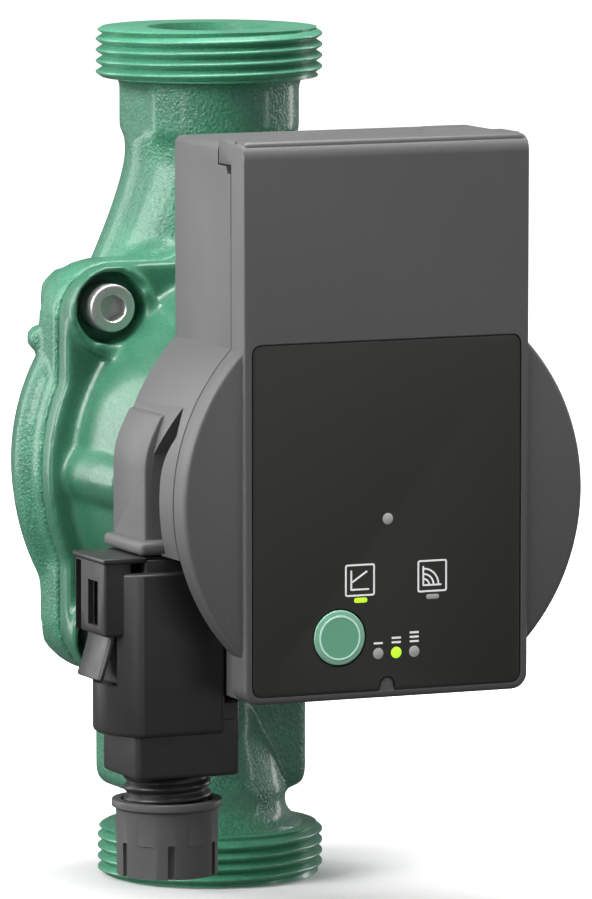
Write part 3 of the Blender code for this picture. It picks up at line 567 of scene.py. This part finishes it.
for number, (side, level) in enumerate(((1, 1), (-1, 1), (-1, -1), (1, -1)), 1):
    piece(f"cap_screw_{number}", cap_screw((side * SCREW_AT, level * SCREW_AT)), MOTOR, bright_zinc,
          "pump", "screw_steel", f"flange_screw_{number}", crease=30)

# ------------------------------------------------------------------------------ electronics module
# Two glass-filled nylon shells, spark-eroded finish: a base that clips round the motor's front and
# carries the mains socket, and a cover that laps over its top edge. They meet in a dark seam.

# Mid grey with an even, pebbled mattness that softens every highlight.
module_plastic, tree, shader = finish("glass_filled_nylon_spark_eroded", 0.5, Specular_IOR_Level=0.5)
spark = object_grain(tree, 0.28, 1.5)                  # drawn twice as coarse as real, so that it shows
flow = object_grain(tree, 14.0, 1.0)
socket(tree, shader, "Base Color", tones(tree, between(tree, spark, 0.2, 0.8), "#5b5b5c", "#646465"))
socket(tree, shader, "Roughness", between(tree, flow, 0.44, 0.52))
relief(tree, shader, (spark, 0.022))

DISC_R, BLOCK_HALF, BLOCK_BOTTOM, BLOCK_TOP = 44.2, 31.5, -40.6, 73.0
MODULE_BACK, DISC_FACE, BLOCK_FACE = 55.0, 90.0, 91.0
BASE_FRONT, COVER_BACK = 84.0, 84.45                   # the black seal shows in the gap between
NOTCH_X = -29.6                                        # the connector stands left of this
WALL = 2.2
SKIRT_LOW = 78.7 - ROTOR_HEIGHT


def module_outline(inset=0.0, foot_corner=3.5, top_corner=1.4, drop=0.0):
    """Disc with a taller block through it, cut level at the foot."""
    disc, half = DISC_R - inset, BLOCK_HALF - inset
    foot, top = BLOCK_BOTTOM + inset, BLOCK_TOP - drop - inset
    swing = atan2(sqrt(disc ** 2 - half ** 2), half)
    line = arc((half - foot_corner, foot + foot_corner), foot_corner, -pi / 2, 0, 6)
    line += arc((0, 0), disc, -swing, swing, 48)
    line += arc((half - top_corner, top - top_corner), top_corner, 0, pi / 2, 4)
    line += arc((top_corner - half, top - top_corner), top_corner, pi / 2, pi, 4)
    line += arc((0, 0), disc, pi - swing, pi + swing, 48)
    line += arc((foot_corner - half, foot + foot_corner), foot_corner, pi, 1.5 * pi, 6)
    return line


BASE_DROP = 0.9                                        # the base's top lies below the cover's
base = slab(module_outline(drop=BASE_DROP), MODULE_BACK, BASE_FRONT, 0.15, 0.9)
tower_line = eased([(-30, SKIRT_LOW, 0), (-45.3, SKIRT_LOW, 0), (-45.3, 9.5, 4), (-41.6, 17, 1),
                    (-30, 17, 0)], 1, True, 5)
tower = slab(tower_line, MODULE_BACK + 0.2, 72.1, 0.4, 0.8)
skirt = block((-47.5, SKIRT_LOW, 55.4), (-31, SKIRT_LOW + 2.9, 75.2), 1.1, 4)
top_rib_line = eased([(18.4, 70), (19.2, BLOCK_TOP - 0.1), (30.2, BLOCK_TOP - 0.1), (31, 70)], 0.8, True)
top_rib = slab(top_rib_line, 64, 77.5, 0.3, 0.4)


def across(bm):
    """Turn a shape drawn in depth and height so that its thickness runs along x."""
    return moved(bm, Matrix(((0, 0, 1, 0), (0, 1, 0, 0), (1, 0, 0, 0), (0, 0, 0, 1))))


GUTTER_BACK, GUTTER_FLOOR, GUTTER_RISE = 72.2, -39.5, 0.05
gutter_line = [(GUTTER_BACK, -60), (GUTTER_BACK, 9), (79.6, 19.5),
               *arc((90.2, 4), 13, pi * 0.74, pi, 8), (77.2, -60)]
gutter = across(slab(gutter_line, -60, GUTTER_FLOOR))
for v in gutter.verts:
    if v.co.x > GUTTER_FLOOR - 1:                      # the floor of the gutter climbs a little
        v.co.x -= GUTTER_RISE * (v.co.z - GUTTER_BACK)
gutter = combined(gutter, [], [block((-70, -70, 60), (-20, SKIRT_LOW + 0.4, 100))])
room = slab(module_outline(WALL, 2.5, drop=BASE_DROP), MODULE_BACK + 2.2, BASE_FRONT + 2)
room = combined(room, [], [block((-60, -60, 50), (-31.3, 8.2, 74.2)),
                           block((-60, -60, 49), (NOTCH_X + WALL, SKIRT_LOW + 2.2, 90)),
                           block((-60, -12, 69.9), (-36.9, 23, 90)),
                           block((-60, 65.5, 75.5), (60, 80, 90))])
plug_notch = block((-60, -60, 50), (NOTCH_X, SKIRT_LOW - 0.01, 95))
step_line = [(77.7, 67.7), (81.8, 67.7), (82.6, 66.2), (90, 66.2), (90, 90), (77.7, 90)]
cover_step = across(slab(step_line, -60, 60))
socket_room = block((-44, -20, 57.5), (-33.4, 6, 71))
back_opening = spun([(0, 60), (29, 60), (29, 50), (0, 50)])
base = combined(combined(base, [], [gutter]), [tower, skirt, top_rib],
                [plug_notch, cover_step, room, socket_room, back_opening])
piece("module_base_shell", base, MOTOR, module_plastic, "pump", "module_plastic", "module_base", crease=32)

ROLL = 3.6                                             # radius of the cover's top front edge


def cover_block():
    """The block's front with small side edges and a big roll along its top."""
    line = arc((BLOCK_HALF - 3.4, BLOCK_BOTTOM + 3.4), 3.4, -pi / 2, 0, 8)
    line += arc((BLOCK_HALF - 1.2, BLOCK_TOP - 1.2), 1.2, 0, pi / 2, 5)
    line += arc((1.2 - BLOCK_HALF, BLOCK_TOP - 1.2), 1.2, pi / 2, pi, 5)
    line += arc((3.4 - BLOCK_HALF, BLOCK_BOTTOM + 3.4), 3.4, pi, 1.5 * pi, 8)
    bm = slab(line, COVER_BACK, BLOCK_FACE)
    rim = [e for e in bm.edges if all(abs(v.co.z - BLOCK_FACE) < 1e-4 for v in e.verts)
           and min(v.co.y for v in e.verts) < BLOCK_TOP - 1.3]
    bmesh.ops.bevel(bm, geom=rim, offset=0.7, affect="EDGES", segments=3, profile=0.5, material=-1)
    steps = 9
    for step in range(steps + 1):
        level = BLOCK_TOP - ROLL + ROLL * sin(step / (steps + 1) * pi / 2)
        whole = list(bm.verts) + list(bm.edges) + list(bm.faces)
        bmesh.ops.bisect_plane(bm, geom=whole, plane_co=(0, level, 0), plane_no=(0, 1, 0))
    for v in bm.verts:
        rise = v.co.y - (BLOCK_TOP - ROLL)
        if rise > 0 and v.co.z > BLOCK_FACE - 1:
            v.co.z -= ROLL - sqrt(max(ROLL ** 2 - rise ** 2, 0))
    return tidy(bm)


disc = slab(module_outline(0, 3.5), COVER_BACK, DISC_FACE, 0.9, 0.15, 4)
roof = block((-BLOCK_HALF, 68, 78), (BLOCK_HALF, BLOCK_TOP, COVER_BACK + 2), 0.25, 2)
PANEL_HALF, PANEL_BOTTOM, PANEL_TOP = 29.9, -39.2, 32.4
BUTTON_AT, BUTTON_R = (-10.6, -27.8), 5.6


def panel_outline(inset=0.0, corner=2.4):
    """The membrane's rounded rectangle, or its recess."""
    half, low, high = PANEL_HALF - inset, PANEL_BOTTOM + inset, PANEL_TOP - inset
    return eased([(-half, low), (half, low), (half, high), (-half, high)], corner, True, 6)


recess = slab(panel_outline(), 90.2, 95)
cover_room = slab(module_outline(WALL, 2.5), 70, 88)
button_hole = spun([(0, 95), (BUTTON_R + 0.5, 95), (BUTTON_R + 0.5, 80), (0, 80)], 64, BUTTON_AT)
tab_line = [(-1.9, PANEL_BOTTOM - 0.5), (1.9, PANEL_BOTTOM - 0.5),
            *arc((0, PANEL_BOTTOM + 1.2), 1.45, 0, pi, 10)]
tab = slab(tab_line, 90.0, 90.75, 0.15)
cover = combined(cover_block(), [disc, roof], [cover_room, recess, button_hole])
cover = combined(cover, [tab])
piece("module_cover_shell", cover, MOTOR, module_plastic, "pump", "module_plastic", "module_cover", crease=32)

# The seal's edge shows as the black line in the seam between the two shells.
seam_black, tree, shader = finish("black_epdm_seal", 0.85)
socket(tree, shader, "Base Color", tones(tree, object_grain(tree, 0.4), "#0b0b0b", "#121212"))
relief(tree, shader, (object_grain(tree, 0.3), 0.01))
seal_line = slab(module_outline(0.5), BASE_FRONT + 0.02, COVER_BACK - 0.02)
inner = slab(module_outline(2.0), BASE_FRONT - 3, COVER_BACK + 3)
seal = combined(seal_line, [], [inner, block((-60, 64.5, 70), (60, 90, 90)),
                                block((-60, -60, 70), (NOTCH_X + 0.2, SKIRT_LOW + 0.5, 90))])
piece("seam_seal", seal, MOTOR, seam_black, "pump", "seal_rubber", "module_seal", crease=30)

# ------------------------------------------------------------------------------------ control panel
# Screen-printed polyester membrane, 0.45 mm thick, laid in the cover's recess: near-black with a fine
# matt tooth, white symbols, and clear windows over the lamps.

panel_film, tree, shader = finish("matt_polyester_membrane", 0.5, Specular_IOR_Level=0.4)
tooth = object_grain(tree, 0.12, 1.0)
tiles = object_grain(tree, 17.0, 0.0)
socket(tree, shader, "Base Color", tones(tree, tiles, "#343431", "#363633"))
socket(tree, shader, "Roughness", between(tree, tooth, 0.46, 0.56))
relief(tree, shader, (tooth, 0.004))

PANEL_FACE = 90.95
film = slab(panel_outline(0.3, 2.2), 90.5, PANEL_FACE, 0.14, 0, 3)
film_hole = spun([(0, 95), (BUTTON_R + 0.35, 95), (BUTTON_R + 0.35, 85), (0, 85)], 64, BUTTON_AT)
film_notch = slab([(-2.1, -45), (2.1, -45), *arc((0, PANEL_BOTTOM + 1.3), 1.75, 0, pi, 12)], 85, 95)
film = combined(film, [], [film_hole, film_notch])
piece("panel_membrane", film, MOTOR, panel_film, "pump", "panel_film", "control_panel", crease=30)

# Opaque white ink stands out on the film: it is matt, and a painted glow keeps it bright in the panel's
# shade.
print_white, tree, shader = finish("white_screen_ink_painted_glow", 0.6)
ink = object_grain(tree, 0.2)
socket(tree, shader, "Base Color", tones(tree, ink, "#eeeeec", "#ffffff"))
# Painted glow: the ink emits a little light of its own.
shader.inputs["Emission Color"].default_value = linear("#ffffff")
shader.inputs["Emission Strength"].default_value = 0.25
relief(tree, shader, (ink, 0.003))

INK = 0.04                                             # thickness of the print above the membrane
STROKE = 0.36


def stroke(start, end):
    """Inked line with round ends, as one flat strip."""
    along = Vector(end) - Vector(start)
    turn = atan2(along.y, along.x)
    outline = arc(end, STROKE / 2, turn - pi / 2, turn + pi / 2, 5)
    outline += arc(start, STROKE / 2, turn + pi / 2, turn + 1.5 * pi, 5)
    return slab(outline, PANEL_FACE - 0.02, PANEL_FACE + INK)


def printed(name, *strokes):
    """One printed symbol from its strokes, welded into one body."""
    piece(name, combined(strokes[0], strokes[1:]), MOTOR, print_white, "pump", "lens", crease=30)


def frame_box(x0, y0, x1, y1):
    """Strokes round a symbol."""
    corners = eased([(x0, y0), (x1, y0), (x1, y1), (x0, y1)], 0.35, True, 2)
    return [stroke(a, b) for a, b in zip(corners, corners[1:] + corners[:1])]


# Two framed symbols: axes with a rising line, and axes with three quarter waves.
printed("symbol_rising_head", *frame_box(-9.2, -19.4, -2.95, -13.2),
        stroke((-8.0, -14.4), (-8.0, -18.2)), stroke((-8.0, -18.2), (-4.2, -18.2)),
        stroke((-7.7, -16.6), (-4.6, -14.6)))
waves = []
for reach in (1.3, 2.3, 3.4):
    wave = arc((8.0, -18.1), reach, 0, pi / 2, 7)
    waves += [stroke(a, b) for a, b in zip(wave, wave[1:])]
printed("symbol_floor_waves", *frame_box(6.9, -19.35, 13.1, -13.15),
        stroke((8.0, -14.3), (8.0, -18.1)), stroke((8.0, -18.1), (11.9, -18.1)), *waves)
for number, (x, dashes) in enumerate(((-2.0, 1), (2.0, 2), (6.0, 3)), 1):
    for dash in range(dashes):
        y = -29.4 + dash * 0.9
        bar = slab([(x - 1.0, y - 0.2), (x + 1.0, y - 0.2), (x + 1.0, y + 0.2), (x - 1.0, y + 0.2)],
                   PANEL_FACE - 0.02, PANEL_FACE + INK)
        piece(f"level_dash_{number}_{dash + 1}", bar, MOTOR, print_white, "pump", "lens", crease=30)

# ------------------------------------------------------------------------------------ lamp windows
# Polycarbonate light guides behind windows in the membrane, each over a lamp on the board inside.
# Their frosted faces are grey with a faint painted glow when their lamp is off, and bright yellow-green when
# lit.


def window(name, colour, glow):
    """Frosted face of a light guide: its fine tooth spreads the light evenly."""
    made, tree, shader = finish(name, 0.45, Specular_IOR_Level=0.4)
    frost = object_grain(tree, 0.25)
    socket(tree, shader, "Base Color", tones(tree, frost, colour, colour))
    shader.inputs["Emission Color"].default_value = linear(colour)
    shader.inputs["Emission Strength"].default_value = glow
    relief(tree, shader, (frost, 0.004))
    return made


# Painted glow: the windows over unlit lamps still emit a little grey light.
dark_window = window("frosted_window_unlit_painted_glow", "#b4b4b2", 0.12)
lit_window = window("frosted_window_lit", "#b2f22e", 0.9)


DOT_R = 1.15
LENS_FRONT, LENS_BACK = PANEL_FACE + 0.05, PANEL_FACE - 0.1


def dot(centre):
    """Round window with a slightly sunken rim."""
    return spun([(0, LENS_FRONT), (DOT_R - 0.12, LENS_FRONT), (DOT_R, PANEL_FACE), (DOT_R, LENS_BACK),
                 (0, LENS_BACK)], 40, centre)


def bar_dot(centre):
    """Long window with round ends."""
    x, y = centre
    line = arc((x + 0.95, y), 0.5, -pi / 2, pi / 2, 8) + arc((x - 0.95, y), 0.5, pi / 2, 1.5 * pi, 8)
    return slab(line, LENS_BACK, LENS_FRONT, 0.04)


for name, bm, look, node in (("status_window", dot((0.1, -4.1)), dark_window, "status_lens_1"),
                             ("mode_window_1", bar_dot((-5.9, -20.4)), lit_window, "mode_lens_1"),
                             ("mode_window_2", bar_dot((10.1, -20.5)), dark_window, "mode_lens_2"),
                             ("level_window_1", dot((-2.0, -31.5)), dark_window, "level_lens_1"),
                             ("level_window_2", dot((2.0, -31.5)), lit_window, "level_lens_2"),
                             ("level_window_3", dot((6.0, -31.5)), dark_window, "level_lens_3")):
    piece(name, bm, MOTOR, look, "pump", "lens", node, crease=30)

# ---------------------------------------------------------------------------------------- button
# Push button moulded in soft green PBT, sprung behind the cover by the key switch on the board, with
# a paler rim and a thin mint ring printed near its edge.

# Satin, even colour: the moulding has almost no texture, so its face takes one soft gradient.
button_green, tree, shader = finish("soft_green_pbt", 0.42)
tone = object_grain(tree, 0.25)
socket(tree, shader, "Base Color", tones(tree, tone, "#78c8a2", "#7ecea8"))
relief(tree, shader, (tone, 0.006))
rim_green, tree, shader = finish("soft_green_pbt_rim", 0.42)
tone = object_grain(tree, 0.25)
socket(tree, shader, "Base Color", tones(tree, tone, "#98d6b8", "#9edcbe"))
relief(tree, shader, (tone, 0.006))

button_line = eased([(0, 91.2), (4.5, 91.2, 0), (4.55, 91.14, 0), (BUTTON_R, 91.12, 0.3),
                     (BUTTON_R, 87.6, 0), (6.9, 87.6, 0.1), (6.9, 86.8, 0.1), (2, 86.8, 0), (2, 82.9, 0.2),
                     (0, 82.9)], 0.2)
button = spun(button_line, 80, BUTTON_AT)
made = piece("push_button", button, MOTOR, button_green, "button", "button_plastic", "operating_button")
made.data.materials.append(rim_green)
centre = Vector((BUTTON_AT[0] * MM, 0, (BUTTON_AT[1] + ROTOR_HEIGHT) * MM))
for face in made.data.polygons:
    off = face.center - centre
    if hypot(off.x, off.z) > 4.5 * MM:
        face.material_index = 1
ring = spun([(4.2, 91.235), (4.5, 91.235), (4.5, 91.1), (4.2, 91.1)], 80, BUTTON_AT)
ring_ink, tree, shader = finish("mint_screen_ink_painted_glow", 0.5)
socket(tree, shader, "Base Color", tones(tree, object_grain(tree, 0.2), "#dafff2", "#e6fff6"))
# Painted glow: the mint ink emits a little light of its own.
shader.inputs["Emission Color"].default_value = linear("#d8fff0")
shader.inputs["Emission Strength"].default_value = 0.2
piece("button_ring", ring, MOTOR, ring_ink, "button", "lens")

# -------------------------------------------------------------------------------- mains connector
# Black nylon cable connector that plugs up into the module's socket: a flat-fronted body with a round
# left side, a box for the cable clamp, a guard around the latch, and a gland thread below.

# Deep black with a soft sheen: a polished tool gives broad, clean highlights on the round side.
black_nylon, tree, shader = finish("black_nylon_moulded", 0.34, Specular_IOR_Level=0.5)
skin = object_grain(tree, 0.3, 1.5)
socket(tree, shader, "Base Color", tones(tree, skin, "#2a2a2a", "#303030"))
socket(tree, shader, "Roughness", between(tree, object_grain(tree, 6.0), 0.32, 0.42))
relief(tree, shader, (skin, 0.008))

PLUG = Matrix.Translation((-38.1, -66.5, 0))           # the cable's axis, at the lower port's level
BOX_LOW, BODY_LOW, BODY_TOP, COLLAR_TOP, INSERT_TOP = 33.1, 42.0, 75.4, 78.0, 91.0
BODY_RIGHT, BODY_FRONT, BODY_REAR = 8.2, -11.4, 9.6
BULGE_CENTRE, BULGE_HALF = (-3.9, -0.6), (11.6, 12.5)
rear = asin((BODY_REAR - BULGE_CENTRE[1]) / BULGE_HALF[1])
fore = asin((BODY_FRONT - BULGE_CENTRE[1]) / BULGE_HALF[1])
bulge = [(BULGE_CENTRE[0] + BULGE_HALF[0] * cos(a), BULGE_CENTRE[1] + BULGE_HALF[1] * sin(a))
         for a in (pi - rear + (rear - fore) * step / 28 for step in range(29))]
body_line = [*arc((BODY_RIGHT - 1.2, BODY_FRONT + 1.2), 1.2, -pi / 2, 0, 5),
             *arc((BODY_RIGHT - 1, BODY_REAR - 1), 1.0, 0, pi / 2, 4), *bulge]
shell = slab(body_line, BODY_LOW, BODY_TOP, 0.6, 1.0, 4)
box_line = eased([(-10.7, -10.0), (12.1, -10.0), (12.1, 9.0), (-10.7, 9.0)], 1.8, True, 5)
clamp_box = slab(box_line, BOX_LOW, BODY_LOW + 3, 0.5, 0.9, 4)
box_shoulder = block((4, -9.9, BODY_LOW - 2.3), (12.0, 8.9, 48.9), 1.0, 4)
collar = block((-8.4, -8.6, BODY_TOP - 2), (5.9, 8.6, COLLAR_TOP), 0.5)
insert = block((-5.3, -3.8, 70), (4.1, 6.6, INSERT_TOP), 0.3)
guard = block((-17.0, -8.4, 62.6), (-11, 7.8, 78.6), 0.6)
guard_top = block((-17.4, -8.8, 77.4), (-8, 8.2, 78.6), 0.4)
gland_stub = spun([(0, 36), (8.2, 36), (8.2, 18.6), (0, 18.6)], 64)
contacts = (-3.5, -0.6, 2.3)
connector = combined(shell, [clamp_box, box_shoulder, guard, guard_top, collar, insert, gland_stub],
                     [block((-8.6, -7.4, 37), (4.0, 7.4, 70)),
                      spun([(0, 40), (6.9, 40), (6.9, 10), (0, 10)], 64),
                      block((-25, -7.0, 52.4), (-12.6, 6.4, 62.7)),
                      block((-15.9, -7.0, 52.4), (-12.6, 6.4, 76.9)),
                      block((-25, -4.5, 64.5), (-14, 0.6, 73.6)),
                      block((-25, 4.3, 60), (-14, 7.0, 77.0)),
                      *[block((x - 0.8, -3.9, 80), (x + 0.8, 4.9, 95)) for x in contacts]], "MANIFOLD")
piece("connector_shell", connector, PLUG, black_nylon, "connector", "connector_plastic", "connector_body",
      crease=32)
thread = screw_thread(9.0, 1.0, 2.4, 19.4, 33.0, 6.9, 64)
piece("gland_thread", thread, PLUG, black_nylon, "connector", "connector_plastic", crease=50)

# ------------------------------------------------------------------------------------------- latch
# Sprung lever moulded in the connector's own nylon, hinged inside the guard. Its tongue flares out
# below the guard, where a finger presses it to free the connector.

lever_side = eased([(-14.9, 76.4), (-14.9, 63, 2), (-15.6, 60, 2), (-17.6, 53.6, 0.3), (-16.6, 53.2, 0.3),
                    (-14.4, 59, 2), (-13.6, 63, 2), (-13.6, 76.4)], 0.3, True, 5)
lever = slab(lever_side, -5.8, 6.4, 0.9, 0.9)
lever = moved(lever, Matrix.Rotation(pi / 2, 4, "X"))
piece("latch_lever", lever, PLUG, black_nylon, "latch", "connector_plastic", "connector_latch", crease=32)

# --------------------------------------------------------------------------------------- gland nut
# Nylon cap nut, moulded with a flange round its mouth, a plain barrel and a slotted grip with flat
# pads between. It screws onto the gland thread and drives the clamping ring in against the cable.

# Greyer and a little duller than the connector, so the nut reads as a part of its own.
grip_plastic, tree, shader = finish("grey_black_nylon", 0.42, Specular_IOR_Level=0.5)
skin = object_grain(tree, 0.3, 1.5)
socket(tree, shader, "Base Color", tones(tree, skin, "#5a5a5a", "#626262"))
socket(tree, shader, "Roughness", between(tree, object_grain(tree, 5.0), 0.36, 0.46))
relief(tree, shader, (skin, 0.008))

NUT_LOW, NUT_STEP, NUT_TOP, BARREL_R = 12.4, 19.4, 27.8, 10.45
nut = spun(eased([(9.3, NUT_TOP), (11.3, NUT_TOP), (11.3, 26.3), (BARREL_R, 26.0), (BARREL_R - 0.05, NUT_LOW),
                  (5.2, NUT_LOW), (5.2, 15.1), (9.3, 15.1)], 0.25, True, 3), 96)
nut_cuts = []
for pad in range(6):
    turn = pad * pi / 3 + radians(12)
    slot_at = Matrix.Rotation(turn, 4, "Z")
    nut_cuts.append(moved(block((9.55, -0.75, NUT_LOW - 2), (14, 0.75, NUT_STEP), 0.2, 2), slot_at))
    flat_at = Matrix.Rotation(turn + pi / 6, 4, "Z")
    nut_cuts.append(moved(block((10.15, -6.5, NUT_LOW - 2), (15, 6.5, NUT_STEP - 0.25), 0.2, 2), flat_at))
nut = combined(nut, [], nut_cuts)
piece("cable_nut", nut, PLUG, grip_plastic, "gland_nut", "connector_plastic", "gland_nut", crease=30)
ring = spun(eased([(4.2, 19.0), (6.6, 19.0), (8.6, 17.4), (8.6, 15.4), (4.4, 15.4)], 0.2, True, 2), 64)
piece("clamping_ring", ring, PLUG, black_nylon, "clamp_ring", "connector_plastic", "gland_ring", crease=30)

# ------------------------------------------------------------------------------------ inner pieces
# Hydraulics, rotor, stator and electronics keep their modelled shape and take the finish of what each
# is made of.


def simple(name, dark, light, roughness, metallic=0.0, grain=0.5, depth=0.01, stretch=(1, 1, 1)):
    """Two-tone finish with a fine grain."""
    made, tree, shader = finish(name, roughness, metallic)
    pattern = object_grain(tree, grain, 2.0, 0.5, stretch)
    socket(tree, shader, "Base Color", tones(tree, pattern, dark, light))
    socket(tree, shader, "Roughness", between(tree, pattern, roughness - 0.05, roughness + 0.08))
    relief(tree, shader, (pattern, depth))
    return made


sheet_steel = simple("deep_drawn_stainless", "#a9aaa8", "#c6c7c4", 0.28, 1.0, 0.6, 0.006)
screw_steel = simple("self_tapping_zinc_steel", "#9fa09c", "#c2c3bf", 0.3, 1.0)
laminations = simple("stacked_electrical_steel", "#4a4a4e", "#77777b", 0.45, 1.0, 0.5, 0.03, (0.05, 1, 0.05))
copper = simple("enamelled_copper_wire", "#7c3a1c", "#b8622f", 0.32, 0.9, 0.4, 0.05, (0.1, 1, 1))
brass = simple("stamped_brass", "#a8843c", "#cfa95c", 0.28, 1.0)
ceramic = simple("ground_alumina", "#d9d5cb", "#e8e5dd", 0.2)
carbon = simple("resin_bonded_carbon", "#1c1c1e", "#29292b", 0.35)
ferrite = simple("steel_sleeved_ferrite", "#55565a", "#6c6d71", 0.35, 1.0)
noryl = simple("glass_filled_noryl", "#3a3128", "#4a3f34", 0.45)
rubber = simple("epdm_rubber", "#101010", "#1a1a1a", 0.8)
fibreglass = simple("solder_masked_fibreglass", "#0d4a2a", "#135c35", 0.3, 0.0, 1.2)
sleeve = simple("pvc_capacitor_sleeve", "#171b26", "#20263a", 0.35)
dark_pbt = simple("black_pbt", "#161616", "#1f1f1f", 0.5)
melamine = simple("grey_melamine", "#8b8b86", "#9a9a95", 0.5)


def numbered(name, count):
    """The nodes of a repeated piece."""
    return [f"{name}_{number}" for number in range(1, count + 1)]


for look, nodes in ((sheet_steel, ["wear_ring", "bearing_plate", "rotor_can"]),
                    (screw_steel, numbered("module_screw", 4)),
                    (laminations, ["stator_core"]),
                    (copper, [*numbered("stator_coil", 6), "line_choke", "winding_leads"]),
                    (brass, numbered("socket_blade", 3)),
                    (ceramic, ["rotor_shaft"]), (carbon, ["front_bearing", "rear_bearing"]),
                    (ferrite, ["rotor_magnet"]), (noryl, ["impeller"]),
                    (rubber, ["thrust_washer", "housing_gasket", "connector_seal", "gland_seal"]),
                    (fibreglass, ["circuit_board"]), (sleeve, ["main_capacitor"]),
                    (dark_pbt, ["contact_carrier", "key_switch", "power_module"]),
                    (melamine, ["terminal_block"])):
    for node in nodes:
        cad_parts[node].material_slots[0].material = look
